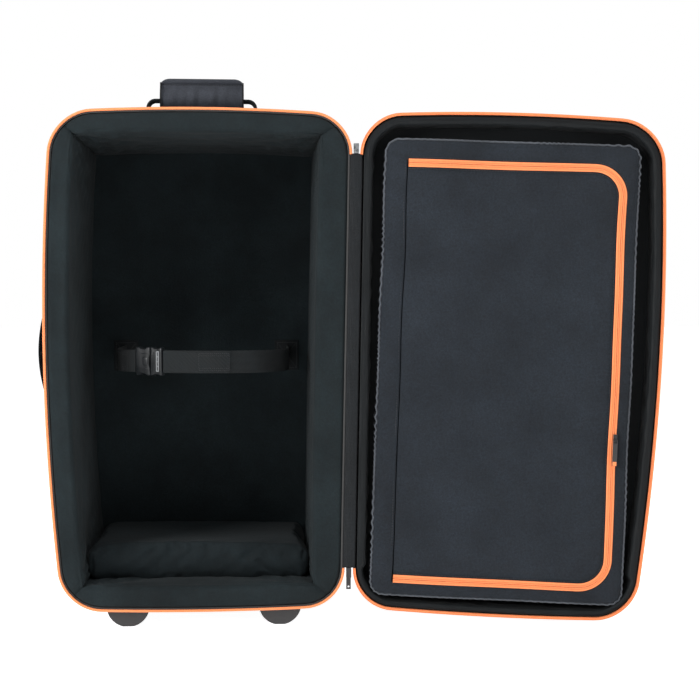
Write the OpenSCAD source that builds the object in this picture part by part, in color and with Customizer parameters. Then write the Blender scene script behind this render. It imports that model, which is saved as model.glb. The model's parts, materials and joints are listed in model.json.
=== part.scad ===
// Wheeled soft carry case for a large telescope tube, standing upright with its lid open.
// The case is drawn with the foot of its hinge line at the drawing's zero and is then
// centred: +X runs from the body to the lid, +Y from the open front to the back, +Z up.

/* [Case] */
// Width of the body across its top edge
top_w = 519; // [430:1:630]
// Width of the body across its bottom edge
bottom_w = 488; // [405:1:590]
// Height of the case between its corner tangents
case_h = 860; // [680:1:1040]
// Depth of the body
body_d = 390; // [320:1:470]
// Depth of the lid
lid_d = 75; // [66:1:92]
// Radius of the outer corners
corner_r = 68; // [50:1:90]
// How far the free side swells at half height
side_bow = 22; // [0:1:30]
// How far the top edge swells at half width
top_crown = 9; // [0:1:14]
// How far the bottom edge swells at half width
bottom_crown = 6; // [0:1:8]
// Height of the case's bottom edge above the floor
ground_gap = 35; // [30:1:44]
// Angle between the closed lid and the open lid
lid_open = 173; // [150:0.5:178]

/* [Covers and boards] */
// Thickness of the outer fabric
skin_t = 3; // [2:0.5:4]
// Thickness of the stiffening board under the fabric
board_t = 3; // [2:0.5:4]
// Width and thickness of the piping on the back and face edges
piping_w = 5; // [4:0.5:7]

/* [Foam] */
// Wall on the free side, from the outer edge
foam_free = 42; // [30:1:55]
// Wall on the hinge side, from the outer edge
foam_hinge = 56; // [40:1:65]
// Wall along the top, from the outer edge
foam_top = 41; // [30:1:55]
// Wall along the bottom, from the outer edge
foam_bottom = 44; // [42:1:60]
// Panel across the back
foam_back = 40; // [30:1:55]
// How far the foam stands back from the rim
foam_recess = 2; // [1:0.5:6]
// Height of the loose block on the bottom wall
block_h = 56; // [40:1:75]
// Distance from the rim to the block's front face
block_setback = 56; // [30:1:70]

/* [Main zipper and hinge] */
// Half the width of the flexible hinge band
hinge_gap = 8; // [7:0.5:12]
// Thickness of the hinge band
band_t = 2.4; // [1.5:0.1:3]
// Depth of the zipper's coil behind the rim
coil_d = 4.8; // [4:0.1:6]
// How far the coil stands out past the fabric
coil_out = 1; // [0.5:0.1:1.5]
// How far the coil reaches in over the fabric's edge
coil_in = 3.5; // [3:0.1:5]
// Width of the zipper tape sewn on the fabric
tape_w = 15; // [10:1:20]
// Length of the metal slider's body
slider_l = 17; // [14:0.5:22]
// Width of the slider's body
slider_w = 9; // [7:0.5:10]
// Length of a pull tab
pull_l = 26; // [20:1:32]

/* [Lid lining and pouch] */
// Wall round the lid, from the outer edge
lid_wall = 20; // [14:1:26]
// Wall along the lid's bottom, from the outer edge
lid_sill = 15; // [12:1:20]
// Foam behind the lid's face
lid_foam = 12; // [8:1:16]
// Width of the padded pouch
pouch_w = 440; // [380:1:450]
// Distance from the lid's hinge edge to the pouch
pouch_inset = 28; // [24:1:40]
// Height of the padded pouch
pouch_h = 800; // [620:1:812]
// Thickness of the pouch's padded walls
pouch_wall = 6; // [4:0.5:8]
// How far the pouch stands back from the rim
pouch_recess = 3; // [2:0.5:8]
// Radius of the pouch's corners
pouch_r = 24; // [12:1:40]
// Distance from the pouch's hinge edge to the flap's seam
flap_seam = 40; // [30:1:60]
// Distance from the pouch's free edge to the zipper
zip_side = 28; // [24:1:70]
// Distance from the pouch's top edge to the zipper
zip_top = 42; // [30:1:70]
// Distance from the pouch's bottom edge to the zipper
zip_bottom = 30; // [24:1:70]
// Radius of the zipper's corners
zip_r = 50; // [30:1:70]
// Width of each zipper half
zip_w = 7; // [4:0.5:8]
// Height of the pouch slider above the pouch's bottom edge
zip_slider_z = 290; // [120:1:600]
// Length of the pouch's pull tab
zip_pull_l = 44; // [30:1:60]

/* [Retaining strap] */
// Radius of the loop that the strap holds
strap_r = 157; // [120:1:165]
// Distance from the hinge line to the loop's middle
strap_x = 258; // [240:1:280]
// Height of the strap above the case's bottom edge
strap_z = 429; // [300:1:560]
// Width of the webbing
strap_w = 40; // [30:1:50]
// Thickness of the webbing
strap_t = 2.5; // [1.5:0.1:3]
// Turn of the buckle round the loop, from its front
buckle_turn = 35; // [25:1:50]
// Length of the fastened buckle
buckle_l = 58; // [50:1:70]
// Width of the buckle
buckle_w = 50; // [46:1:56]
// Thickness of the buckle
buckle_t = 12; // [10:0.5:15]

/* [Handles] */
// Length of the padded wrap on the top handle
wrap_l = 154; // [120:1:180]
// Height of the padded wrap
wrap_h = 58; // [45:1:70]
// Thickness of the padded wrap round the webbing
wrap_t = 36; // [34:1:44]
// Thickness of the padded wrap along its upper edge
wrap_edge_t = 16; // [10:1:20]
// Height of the finger gap under the wrap
finger_gap = 23; // [20:1:40]
// Distance between the outer faces of the top webbing's legs
top_span = 204; // [190:1:260]
// Width of the top webbing
top_web_w = 30; // [24:1:34]
// Thickness of the doubled top webbing
top_web_t = 5; // [4:0.5:6]
// Length of the side handle
side_span = 240; // [190:1:280]
// How far the side handle stands out
side_rise = 30; // [30:1:50]
// Height of the side handle's middle above the case's bottom edge
side_z = 445; // [350:1:520]
// Distance from the rim to the middle of the side handle
side_y = 170; // [120:1:230]
// Thickness of the side handle's webbing
side_web_t = 3; // [2:0.5:4]
// Thickness of the sewn webbing patches
patch_t = 2.5; // [1.5:0.1:3]

/* [Feet and wheels] */
// Width of a front foot
foot_w = 75; // [60:1:90]
// Depth of a front foot
foot_d = 58; // [40:1:80]
// Distance between the middles of the feet
foot_spacing = 266; // [200:1:300]
// Distance from the zipper's tape to a foot's front
foot_setback = 2; // [1:1:16]
// Height worn off the bottom of a foot's curve, so that it stands flat
foot_flat = 1; // [0.5:0.1:2]
// Radius of a wheel
wheel_r = 36; // [30:1:38]
// Width of a wheel
wheel_w = 24; // [18:1:28]
// Thickness of the tyre
tyre_t = 8; // [5:0.5:12]
// Radius of an axle
axle_r = 4; // [3:0.5:5]
// Running clearance of a wheel on its axle
axle_fit = 0.05; // [0.02:0.01:0.1]
// Distance from an axle to the plane of the back
wheel_inset = 28; // [24:1:32]
// Distance from a wheel's middle to the side of the case
wheel_side = 50; // [42:1:70]
// Thickness of a wheel housing's walls
housing_t = 3; // [2:0.5:4]
// Gap between a wheel and its housing
wheel_gap = 2; // [1:0.5:4]
// Height that a wheel housing rises into the case
housing_rise = 41; // [40:0.5:44]
// Radius of the screws' shanks
screw_r = 2; // [1.5:0.1:2.5]

/* [Hidden] */
$fn = 48;

nylon = "#232326";
lining = "#1d2524";
pouch_blue = "#2d323c";
orange = "#f0915a";
webbing_black = "#18181a";
plastic_grey = "#343234";
steel = "#b9bbbd";

// Smallest gap between pieces that meet when the lid closes, measured from the rim plane
rim_gap = 0.2;
// Gap between pieces that pass each other
pass_gap = 0.4;
corner_steps = 6;
side_steps = 8;
slope = (top_w - bottom_w) / 2 / case_h;
lean = atan(slope);
mid_w = (top_w + bottom_w) / 2;
mid_x = -hinge_gap - mid_w / 2;
gusset_front = rim_gap + coil_d;
lining_inset = skin_t + board_t;
bay_d = body_d - skin_t - board_t - foam_back;
loop_y = bay_d - strap_r;

// ---------- outlines, as [x, height above the bottom edge] ----------
function hinge_side(z) = slope * z - hinge_gap;
function free_side(z) = -slope * z - hinge_gap - bottom_w;
function arc(c, r, from, to) = [
    for (k = [0 : corner_steps]) let (a = from + (to - from) * k / corner_steps)
        [c.x + r * cos(a), c.y + r * sin(a)]
];
function between(p, q) = [for (k = [1 : side_steps - 1]) p + (q - p) * k / side_steps];
// Bows the free side outwards, and crowns the top and the bottom
function swell(p) = let (
    up = 2 * p.y / case_h - 1,
    across = (p.x - mid_x) / (mid_w / 2),
    bow = side_bow * max(0, 1 - up * up) * (1 - across) / 2,
    crown = (up > 0 ? top_crown : -bottom_crown) * abs(up) * max(0, 1 - across * across)
) [p.x - bow, p.y + crown];
function last(v) = v[len(v) - 1];
function outline(inset) = let (
    r = corner_r - inset,
    reach = corner_r / cos(lean),
    low = corner_r,
    high = case_h - corner_r,
    a = arc([hinge_side(low) - reach, low], r, -90, -lean),
    b = arc([hinge_side(high) - reach, high], r, -lean, 90),
    c = arc([free_side(high) + reach, high], r, 90, 180 + lean),
    d = arc([free_side(low) + reach, low], r, 180 + lean, 270)
) [
    for (p = concat(
        a, between(last(a), b[0]), b, between(last(b), c[0]),
        c, between(last(c), d[0]), d, between(last(d), a[0])
    )) swell(p)
];
// Corners of the opening inside the walls: bottom hinge, top hinge, top free, bottom free
function opening_corners(free, hinge, top, bottom) = [
    [hinge_side(bottom) - hinge, bottom],
    [hinge_side(case_h - top) - hinge, case_h - top],
    [free_side(case_h - top) + free, case_h - top],
    [free_side(bottom) + free, bottom]
];
function opening(corners) = [
    for (k = [0 : 3]) each [
        for (p = concat([corners[k]], between(corners[k], corners[(k + 1) % 4]))) swell(p)
    ]
];
bay = opening_corners(foam_free, foam_hinge, foam_top, foam_bottom);
tray = opening_corners(lid_wall, lid_wall, lid_wall, lid_sill);
edge_corners = opening_corners(0, 0, 0, 0);

// ---------- placing ----------
axis = [slope, 0, 1];
hinge_foot = [0, 0, ground_gap];
// Where a point of the closed lid lies once the lid is open
function opened(p) = let (
    k = axis / norm(axis),
    d = p - hinge_foot
) hinge_foot + d * cos(lid_open) + cross(k, d) * sin(lid_open) + k * (k * d) * (1 - cos(lid_open));
rim_points = [for (p = outline(-coil_out)) opened([p.x, -rim_gap, p.y + ground_gap])];
side_web_x = swell([free_side(side_z), side_z]).x - patch_t;
reach_left = side_web_x - side_rise;
reach_right = max([for (p = rim_points) p.x]);
reach_front = min([for (p = rim_points) p.y]);
reach_back = body_d - wheel_inset + wheel_r;
centre = [(reach_left + reach_right) / 2, (reach_front + reach_back) / 2, 0];

module place() {
    translate(-centre) children();
}
module open_lid() {
    place() translate(hinge_foot) rotate(a = lid_open, v = axis) translate(-hinge_foot) children();
}
// Extrudes an [x, height] shape from one depth to another
module slab(front, back) {
    translate([0, back, ground_gap]) rotate([90, 0, 0]) linear_extrude(back - front) children();
}
module ring(outer, inner) {
    difference() {
        polygon(outline(outer));
        polygon(outline(inner));
    }
}
// One of the four walls of a lined opening, mitred into its neighbours
module wall(corners, side, inset) {
    next = (side + 1) % 4;
    reach = 2;
    near = [swell(corners[side]), swell(corners[next])];
    far = [
        near[0] + (edge_corners[side] - near[0]) * reach,
        near[1] + (edge_corners[next] - near[1]) * reach
    ];
    intersection() {
        difference() {
            polygon(outline(inset));
            polygon(opening(corners));
        }
        polygon([near[0], near[1], far[1], far[0]]);
    }
}
// Leaves the hinge's straight stretch out of a rim strip
module clear_of_hinge() {
    difference() {
        children();
        translate([hinge_side(0) - coil_in * 3, corner_r]) square([coil_in * 8, case_h - 2 * corner_r]);
    }
}

// ---------- body ----------
function wheel_x(side) = side > 0 ? hinge_side(0) - wheel_side : free_side(0) + wheel_side;
wheel_y = body_d - wheel_inset;
housing_w = wheel_w + 2 * wheel_gap + 2 * housing_t;
housing_front = wheel_y - wheel_r - wheel_gap - housing_t;
module wheel_pockets() {
    for (side = [-1, 1]) translate([wheel_x(side) - housing_w / 2, housing_front, 0])
        cube([housing_w, body_d, ground_gap + housing_rise]);
}
module body_gusset() {
    color(nylon) place() difference() {
        slab(gusset_front, body_d - skin_t) ring(0, skin_t);
        wheel_pockets();
    }
}
module body_back_panel() {
    color(nylon) place() difference() {
        slab(body_d - skin_t, body_d) polygon(outline(0));
        wheel_pockets();
    }
}
module body_stiffener() {
    color(plastic_grey) place() difference() {
        slab(gusset_front, body_d - skin_t - board_t) ring(skin_t + 0.01, lining_inset);
        wheel_pockets();
    }
}
module body_back_board() {
    color(plastic_grey) place() difference() {
        slab(body_d - skin_t - board_t, body_d - skin_t) polygon(outline(skin_t));
        wheel_pockets();
    }
}
module body_wall(side) {
    color(lining) place() difference() {
        slab(foam_recess, bay_d) wall(bay, side, lining_inset);
        wheel_pockets();
    }
}
module foam_hinge_side() {
    body_wall(0);
}
module foam_top() {
    body_wall(1);
}
module foam_free_side() {
    body_wall(2);
}
module foam_bottom() {
    body_wall(3);
}
module foam_back() {
    color(lining) place() difference() {
        slab(bay_d, bay_d + foam_back) polygon(outline(lining_inset));
        wheel_pockets();
    }
}
module base_block() {
    color(lining) place() slab(block_setback, bay_d) intersection() {
        polygon(opening(bay));
        translate([free_side(0), 0]) square([bottom_w, foam_bottom + block_h]);
    }
}

// ---------- main zipper and hinge ----------
module body_zip_coil() {
    color(orange) place() slab(rim_gap, gusset_front) clear_of_hinge() ring(-coil_out, coil_in);
}
module body_zip_tape() {
    color(nylon) place() slab(gusset_front, gusset_front + tape_w) clear_of_hinge() ring(-coil_out, 0);
}
module body_piping() {
    color(nylon) place() difference() {
        slab(body_d - piping_w, body_d) ring(-coil_out * 2, 0);
        wheel_pockets();
    }
}
// Half of the hinge band, from the fabric's edge to just past the hinge line
module half_band(front, past) {
    slab(front, front + band_t) polygon([
        [hinge_side(corner_r) - skin_t, corner_r],
        [slope * corner_r + past, corner_r],
        [slope * (case_h - corner_r) + past, case_h - corner_r],
        [hinge_side(case_h - corner_r) - skin_t, case_h - corner_r]
    ]);
}
module hinge_band() {
    color(plastic_grey) {
        place() half_band(gusset_front - band_t, 1);
        open_lid() half_band(-gusset_front, 0);
    }
}
slider_t = 5.4;
slider_y = 1.8;
pull_t = 2;
pull_w = 8;
pin_r = 1;
cheek_r = 1.6;
// The pull hangs behind the hinge band
lug_y = gusset_front + pass_gap + cheek_r;
// A zipper slider over one end of the hinge band: its low end is at the height given
module slider(z, lug) {
    translate([slope * (z + slider_l / 2), 0, ground_gap + z]) difference() {
        union() {
            translate([-slider_w / 2, slider_y - slider_t / 2, 0]) cube([slider_w, slider_t, slider_l]);
            translate([-slider_w / 4, slider_y, lug - pin_r * 2])
                cube([slider_w / 2, lug_y + pin_r * 2 - slider_y, pin_r * 4]);
        }
        translate([-slider_w, lug_y, lug]) rotate([0, 90, 0])
            cylinder(h = slider_w * 2, r = pin_r + axle_fit);
    }
}
// A pull tab that hangs from its own pin at zero
module pull_tab(length) {
    cheek_t = 1.4;
    rotate([0, 90, 0]) cylinder(h = pull_w, r = pin_r, center = true);
    for (side = [-1, 1]) translate([side * (pull_w - cheek_t) / 2, 0, 0]) {
        rotate([0, 90, 0]) cylinder(h = cheek_t, r = cheek_r, center = true);
        translate([-cheek_t / 2, -pull_t / 2, -8]) cube([cheek_t, pull_t, 8]);
    }
    difference() {
        translate([-pull_w / 2, -pull_t / 2, -length]) cube([pull_w, pull_t, length - 5]);
        translate([0, pull_t, -length + 4.5]) rotate([90, 0, 0]) cylinder(h = pull_t * 2, r = 1.8);
    }
}
module hanging_pull(z, lug) {
    translate([slope * (z + slider_l / 2), lug_y, ground_gap + z + lug]) pull_tab(pull_l);
}
top_slider_z = case_h - corner_r + pass_gap;
bottom_slider_z = corner_r - slider_l - pass_gap;
module top_slider() {
    color(steel) place() slider(top_slider_z, slider_l / 2);
}
module bottom_slider() {
    color(plastic_grey) place() slider(bottom_slider_z, slider_l / 4);
}
module top_pull() {
    color(webbing_black) place() hanging_pull(top_slider_z, slider_l / 2);
}
module bottom_pull() {
    color(webbing_black) place() hanging_pull(bottom_slider_z, slider_l / 4);
}

// ---------- retaining strap ----------
// Directions round the loop are counted from its front, positive towards the hinge
loop_centre = [-strap_x, loop_y, ground_gap + strap_z];
loop_steps = 20;
half_buckle = atan(buckle_l / 2 / strap_r);
// The webbing stops just short of the bar that it is looped round
half_gap = asin((buckle_l / 2 + 1 + pass_gap) / strap_r);
function loop_face(r, from, to) = [
    for (k = [0 : loop_steps]) let (a = from + (to - from) * k / loop_steps) [r * sin(a), -r * cos(a)]
];
// A leg that runs straight back from one side of the loop, then round to the buckle
module loop_band(side, to) {
    inner = loop_face(strap_r, side * 90, to);
    outer = loop_face(strap_r + strap_t, to, side * 90);
    back = strap_r - patch_t;
    translate(loop_centre - [0, 0, strap_w / 2]) linear_extrude(strap_w)
        polygon(concat([[inner[0].x, back]], inner, outer, [[last(outer).x, back]]));
}
anchor_w = strap_w * 1.2;
anchor_h = strap_w * 1.5;
module strap_anchors() {
    color(webbing_black) place() for (side = [-1, 1])
        translate(loop_centre + [side * (strap_r + strap_t / 2), strap_r - patch_t / 2, 0])
            cube([anchor_w, patch_t, anchor_h], center = true);
}
module strap_left() {
    color(webbing_black) place() loop_band(-1, -buckle_turn - half_gap);
}
module strap_right() {
    color(webbing_black) place() loop_band(1, -buckle_turn + half_gap);
}
// The buckle's own frame: +X along the strap towards the hinge, +Y away from the loop's middle
module at_buckle() {
    place() translate(loop_centre) rotate([0, 0, -buckle_turn])
        translate([0, -strap_r * cos(half_buckle) - strap_t / 2, 0]) children();
}
prong_l = 24;
prong_t = 5;
prong_w = 9;
// Where the socket ends and the insert begins
mouth_x = 4;
function prong_z(side) = side * buckle_w / 4 - prong_w / 2;
module socket_shape() {
    difference() {
        translate([-buckle_l / 2, -buckle_t / 2, -buckle_w / 2])
            cube([buckle_l / 2 + mouth_x, buckle_t, buckle_w]);
        for (side = [-1, 1])
            translate([mouth_x - prong_l - 1, -prong_t / 2 - pass_gap, prong_z(side) - pass_gap])
                cube([prong_l + 2, prong_t + 2 * pass_gap, prong_w + 2 * pass_gap]);
        translate([-buckle_l / 2 - 1, -buckle_t, -buckle_w / 2 + 5]) cube([8, buckle_t * 2, buckle_w - 10]);
    }
}
module buckle_socket() {
    color(webbing_black) at_buckle() {
        socket_shape();
        translate([-buckle_l / 2 + 1, 0, 0]) cylinder(h = buckle_w - 9, r = 2, center = true);
    }
}
module buckle_insert() {
    color(webbing_black) at_buckle() {
        difference() {
            translate([mouth_x + pass_gap, -buckle_t / 2, -buckle_w / 2])
                cube([buckle_l / 2 - mouth_x - pass_gap, buckle_t, buckle_w]);
            translate([14, -buckle_t, -buckle_w / 2 + 5]) cube([5, buckle_t * 2, buckle_w - 10]);
            translate([22, -buckle_t, -buckle_w / 2 + 5]) cube([buckle_l, buckle_t * 2, buckle_w - 10]);
        }
        translate([buckle_l / 2 - 1, 0, 0]) cylinder(h = buckle_w - 9, r = 2, center = true);
        for (side = [-1, 1])
            translate([mouth_x + pass_gap - prong_l, -prong_t / 2, prong_z(side)])
                cube([prong_l + 1, prong_t, prong_w]);
    }
}

// ---------- handles ----------
top_y = body_d / 2;
leg_x = top_span / 2 - top_web_t / 2;
function top_face(x) = swell([mid_x + x, case_h]).y;
pivot_r = top_web_w / 2;
pivot_z = ground_gap + top_face(leg_x) + patch_t + pivot_r + pass_gap;
wrap_z = ground_gap + top_face(0) + finger_gap;
// Middle of the webbing where it passes through the wrap
web_z = wrap_z + wrap_t / 2 - 5;
module top_handle_patches() {
    color(webbing_black) place() slab(top_y - pivot_r - 4, top_y + pivot_r + 4) intersection() {
        ring(-patch_t, 0);
        for (side = [-1, 1]) translate([mid_x + side * leg_x - 24, case_h - corner_r / 2])
            square([48, corner_r]);
    }
}
// The webbing's path seen from the front: up one leg, across and down the other
module web_arch(inset) {
    bend = 16 - inset;
    half = top_span / 2 - inset;
    top = web_z + top_web_t / 2 - inset;
    polygon(concat(
        [[-half, pivot_z], [-half, top - bend]],
        arc([bend - half, top - bend], bend, 180, 90),
        arc([half - bend, top - bend], bend, 90, 0),
        [[half, pivot_z]]
    ));
}
module top_handle_webbing() {
    color(webbing_black) place() translate([mid_x, top_y, 0]) {
        translate([0, pivot_r, 0]) rotate([90, 0, 0]) linear_extrude(2 * pivot_r) difference() {
            web_arch(0);
            web_arch(top_web_t);
            translate([-wrap_l / 2 + 2, wrap_z]) square([wrap_l - 4, wrap_h]);
        }
        for (side = [-1, 1]) translate([side * leg_x, 0, pivot_z]) rotate([0, 90, 0])
            cylinder(h = top_web_t, r = pivot_r, center = true);
    }
}
// Cross-section of the wrap: round about the webbing, closing to a flat upper edge
module wrap_section() {
    low = wrap_t / 2;
    edge = wrap_edge_t / 2;
    polygon(concat(
        arc([0, low], low, 180, 360),
        arc([0, wrap_h - edge], edge, 0, 180)
    ));
}
module wrap_front() {
    r = 10;
    polygon(concat(
        [[-wrap_l / 2, 0]],
        arc([r - wrap_l / 2, wrap_h - r], r, 180, 90),
        arc([wrap_l / 2 - r, wrap_h - r], r, 90, 0),
        [[wrap_l / 2, 0]]
    ));
}
module top_handle_wrap() {
    color("#3c3c42") place() translate([mid_x, top_y, wrap_z]) difference() {
        intersection() {
            translate([-wrap_l / 2, 0, 0]) rotate([90, 0, 90]) linear_extrude(wrap_l) wrap_section();
            translate([0, wrap_t, 0]) rotate([90, 0, 0]) linear_extrude(wrap_t * 2) wrap_front();
        }
        for (side = [-1, 1]) translate([side * wrap_l / 2, 0, web_z - wrap_z])
            cube([4, 2 * pivot_r, top_web_t], center = true);
    }
}
side_web_w = 38;
module side_handle_patches() {
    color(webbing_black) place() slab(side_y - side_web_w / 2, side_y + side_web_w / 2) intersection() {
        ring(-patch_t, 0);
        for (end = [-1, 1]) translate([free_side(side_z) - 60, side_z + end * side_span / 2 - 22])
            square([100, 44]);
    }
}
module side_handle_webbing() {
    half = side_span / 2;
    rise = side_rise;
    bend_r = (half * half + rise * rise) / (2 * rise);
    color(webbing_black) place() slab(side_y - side_web_w / 2, side_y + side_web_w / 2) difference() {
        translate([side_web_x - rise + bend_r, side_z]) difference() {
            circle(bend_r, $fn = 120);
            circle(bend_r - side_web_t, $fn = 120);
        }
        translate([side_web_x + 2, side_z - bend_r * 2]) square([bend_r * 4, bend_r * 4]);
        polygon(outline(-patch_t));
    }
}

// ---------- feet and wheels ----------
foot_mid_x = (hinge_side(0) + free_side(0)) / 2;
foot_x = [foot_mid_x - foot_spacing / 2, foot_mid_x + foot_spacing / 2];
foot_top = ground_gap;
foot_y = gusset_front + tape_w + foot_setback;
foot_sag = foot_top + foot_flat;
// Radius of the half-moon whose chord is the foot's width
foot_bend = (pow(foot_w / 2, 2) + pow(foot_sag, 2)) / (2 * foot_sag);
// Height of the screws' heads above the floor
screw_z = 12;
screw_head_t = 2;
module at_foot_screws() {
    for (x = foot_x) for (share = [0.28, 0.72]) translate([x, foot_y + foot_d * share, 0]) children();
}
module front_feet() {
    color(plastic_grey) place() difference() {
        for (x = foot_x) difference() {
            translate([x, foot_y + foot_d, foot_bend - foot_flat]) rotate([90, 0, 0])
                cylinder(h = foot_d, r = foot_bend, $fn = 72);
            translate([x - foot_w, foot_y - 1, -foot_bend]) cube([foot_w * 2, foot_d + 2, foot_bend]);
            translate([x - foot_w, foot_y - 1, foot_top]) cube([foot_w * 2, foot_d + 2, foot_bend * 2]);
        }
        slab(foot_y - 1, foot_y + foot_d + 1) polygon(outline(0));
        at_foot_screws() {
            cylinder(h = ground_gap, r = screw_r + axle_fit);
            translate([0, 0, -1]) cylinder(h = screw_z + screw_head_t + 1.1, r = screw_r * 2 + 0.1);
        }
    }
}
module foot_screws() {
    color(steel) place() at_foot_screws() translate([0, 0, screw_z]) {
        cylinder(h = screw_head_t, r = screw_r * 2);
        cylinder(h = ground_gap - bottom_crown - screw_z - 1, r = screw_r);
    }
}
skirt_z = 14;
module housing(x) {
    difference() {
        translate([x - housing_w / 2, housing_front, skirt_z])
            cube([housing_w, body_d - housing_front, ground_gap + housing_rise - skirt_z]);
        translate([x - wheel_w / 2 - wheel_gap, housing_front + housing_t, skirt_z - 1])
            cube([wheel_w + 2 * wheel_gap, body_d, ground_gap + housing_rise - skirt_z - housing_t + 1]);
        translate([x - housing_w, wheel_y, wheel_r]) rotate([0, 90, 0])
            cylinder(h = housing_w * 2, r = axle_r);
        for (side = [-1, 1]) translate([x + side * 8, housing_front - 1, ground_gap + housing_rise / 2])
            rotate([-90, 0, 0]) cylinder(h = housing_t + 2, r = screw_r + 0.05);
    }
}
module wheel_housings() {
    color(plastic_grey) place() for (side = [-1, 1]) housing(wheel_x(side));
}
module housing_screws() {
    color(steel) place() for (side = [-1, 1]) for (off = [-8, 8])
        translate([wheel_x(side) + off, housing_front, ground_gap + housing_rise / 2]) rotate([-90, 0, 0]) {
            cylinder(h = housing_t, r = screw_r);
            translate([0, 0, housing_t]) cylinder(h = 1.5, r = screw_r * 1.8);
        }
}
module wheel_axles() {
    color(steel) place() for (side = [-1, 1]) translate([wheel_x(side), wheel_y, wheel_r])
        rotate([0, 90, 0]) cylinder(h = housing_w, r = axle_r, center = true);
}
module at_wheel(side) {
    place() translate([wheel_x(side), wheel_y, wheel_r]) rotate([0, 90, 0]) children();
}
hub_r = wheel_r - tyre_t;
module wheel_hub(side) {
    color(plastic_grey) at_wheel(side) difference() {
        cylinder(h = wheel_w - 4, r = hub_r, center = true);
        for (end = [-1, 1]) translate([0, 0, end * (wheel_w / 2)]) difference() {
            cylinder(h = wheel_w / 2, r = hub_r - 3, center = true);
            cylinder(h = wheel_w, r = axle_r + 4, center = true);
        }
        for (k = [0 : 4]) rotate([0, 0, k * 72]) translate([(hub_r + axle_r) / 2 + 1, 0, 0])
            cylinder(h = wheel_w, r = (hub_r - axle_r) / 2 - 5, center = true);
        cylinder(h = wheel_w, r = axle_r + axle_fit, center = true);
    }
}
module wheel_tyre(side) {
    bead = wheel_w / 2;
    color("#1b1b1c") at_wheel(side) rotate_extrude($fn = 72) polygon([
        [hub_r, 4 - bead], [wheel_r - 5, -bead], [wheel_r - 1.5, 2.5 - bead], [wheel_r, 6 - bead],
        [wheel_r, bead - 6], [wheel_r - 1.5, bead - 2.5], [wheel_r - 5, bead], [hub_r, bead - 4]
    ]);
}
module free_wheel_hub() {
    wheel_hub(-1);
}
module free_wheel_tyre() {
    wheel_tyre(-1);
}
module hinge_wheel_hub() {
    wheel_hub(1);
}
module hinge_wheel_tyre() {
    wheel_tyre(1);
}

// ---------- lid, drawn closed and then opened ----------
lid_floor = -lid_d + skin_t + board_t + lid_foam;
module lid_gusset() {
    color(nylon) open_lid() slab(-lid_d + skin_t, -gusset_front) ring(0, skin_t);
}
module lid_face_panel() {
    color(nylon) open_lid() slab(-lid_d, -lid_d + skin_t) polygon(outline(0));
}
module lid_board() {
    color(plastic_grey) open_lid() slab(-lid_d + skin_t, -lid_d + skin_t + board_t) polygon(outline(skin_t));
}
module lid_foam_panel() {
    color(lining) open_lid() slab(lid_floor - lid_foam, lid_floor) polygon(outline(skin_t));
}
module lid_lining(side) {
    color(lining) open_lid() slab(lid_floor, -foam_recess) wall(tray, side, skin_t + coil_in);
}
module lid_wall_hinge() {
    lid_lining(0);
}
module lid_wall_top() {
    lid_lining(1);
}
module lid_wall_free() {
    lid_lining(2);
}
module lid_wall_bottom() {
    lid_lining(3);
}
module lid_zip_coil() {
    color(orange) open_lid() slab(-gusset_front, -rim_gap) clear_of_hinge() ring(-coil_out, coil_in);
}
module lid_zip_tape() {
    color(nylon) open_lid() slab(-gusset_front - tape_w, -gusset_front) clear_of_hinge() ring(-coil_out, 0);
}
module lid_piping() {
    color(nylon) open_lid() slab(-lid_d, -lid_d + piping_w) ring(-coil_out * 2, 0);
}

// ---------- pouch ----------
pouch_hinge_x = hinge_side(0) - pouch_inset;
pouch_free_x = pouch_hinge_x - pouch_w;
pouch_low = lid_sill + 6;
pouch_high = pouch_low + pouch_h;
pouch_front = -pouch_recess;
pouch_back_y = lid_floor;
seam_x = pouch_hinge_x - flap_seam;
zip_x = pouch_free_x + zip_side;
zip_low = pouch_low + zip_bottom;
zip_high = pouch_high - zip_top;
zip_t = 1.5;
module pouch_shape(inset) {
    r = pouch_r - inset;
    hull() for (x = [pouch_free_x + pouch_r, pouch_hinge_x - pouch_r])
        for (z = [pouch_low + pouch_r, pouch_high - pouch_r]) translate([x, z]) circle(r);
}
// The zipped flap: square at its seam and round at its free corners
function flap_points(grow, seam) = let (r = zip_r + grow) concat(
    [[seam, zip_low - grow], [seam, zip_high + grow]],
    arc([zip_x + zip_r, zip_high - zip_r], r, 90, 180),
    arc([zip_x + zip_r, zip_low + zip_r], r, 180, 270)
);
module pouch_back() {
    color(pouch_blue) open_lid() slab(pouch_back_y, pouch_back_y + pouch_wall) pouch_shape(0);
}
module pouch_sides() {
    color(pouch_blue) open_lid() slab(pouch_back_y + pouch_wall, pouch_front - pouch_wall) difference() {
        pouch_shape(0);
        pouch_shape(pouch_wall);
    }
}
module pouch_border() {
    color(pouch_blue) open_lid() slab(pouch_front - pouch_wall, pouch_front) difference() {
        pouch_shape(0);
        polygon(flap_points(0, seam_x));
    }
}
module pouch_border_zip() {
    color(orange) open_lid() slab(pouch_front, pouch_front + zip_t) difference() {
        polygon(flap_points(zip_w, seam_x));
        polygon(flap_points(0, seam_x + 1));
    }
}
module pouch_flap() {
    color(pouch_blue) open_lid() slab(pouch_front - pouch_wall, pouch_front)
        polygon(flap_points(-pass_gap, seam_x - pass_gap));
}
module pouch_flap_zip() {
    color(orange) open_lid() slab(pouch_front, pouch_front + zip_t) difference() {
        polygon(flap_points(-pass_gap, seam_x - 4));
        polygon(flap_points(-zip_w, seam_x));
    }
}
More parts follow.
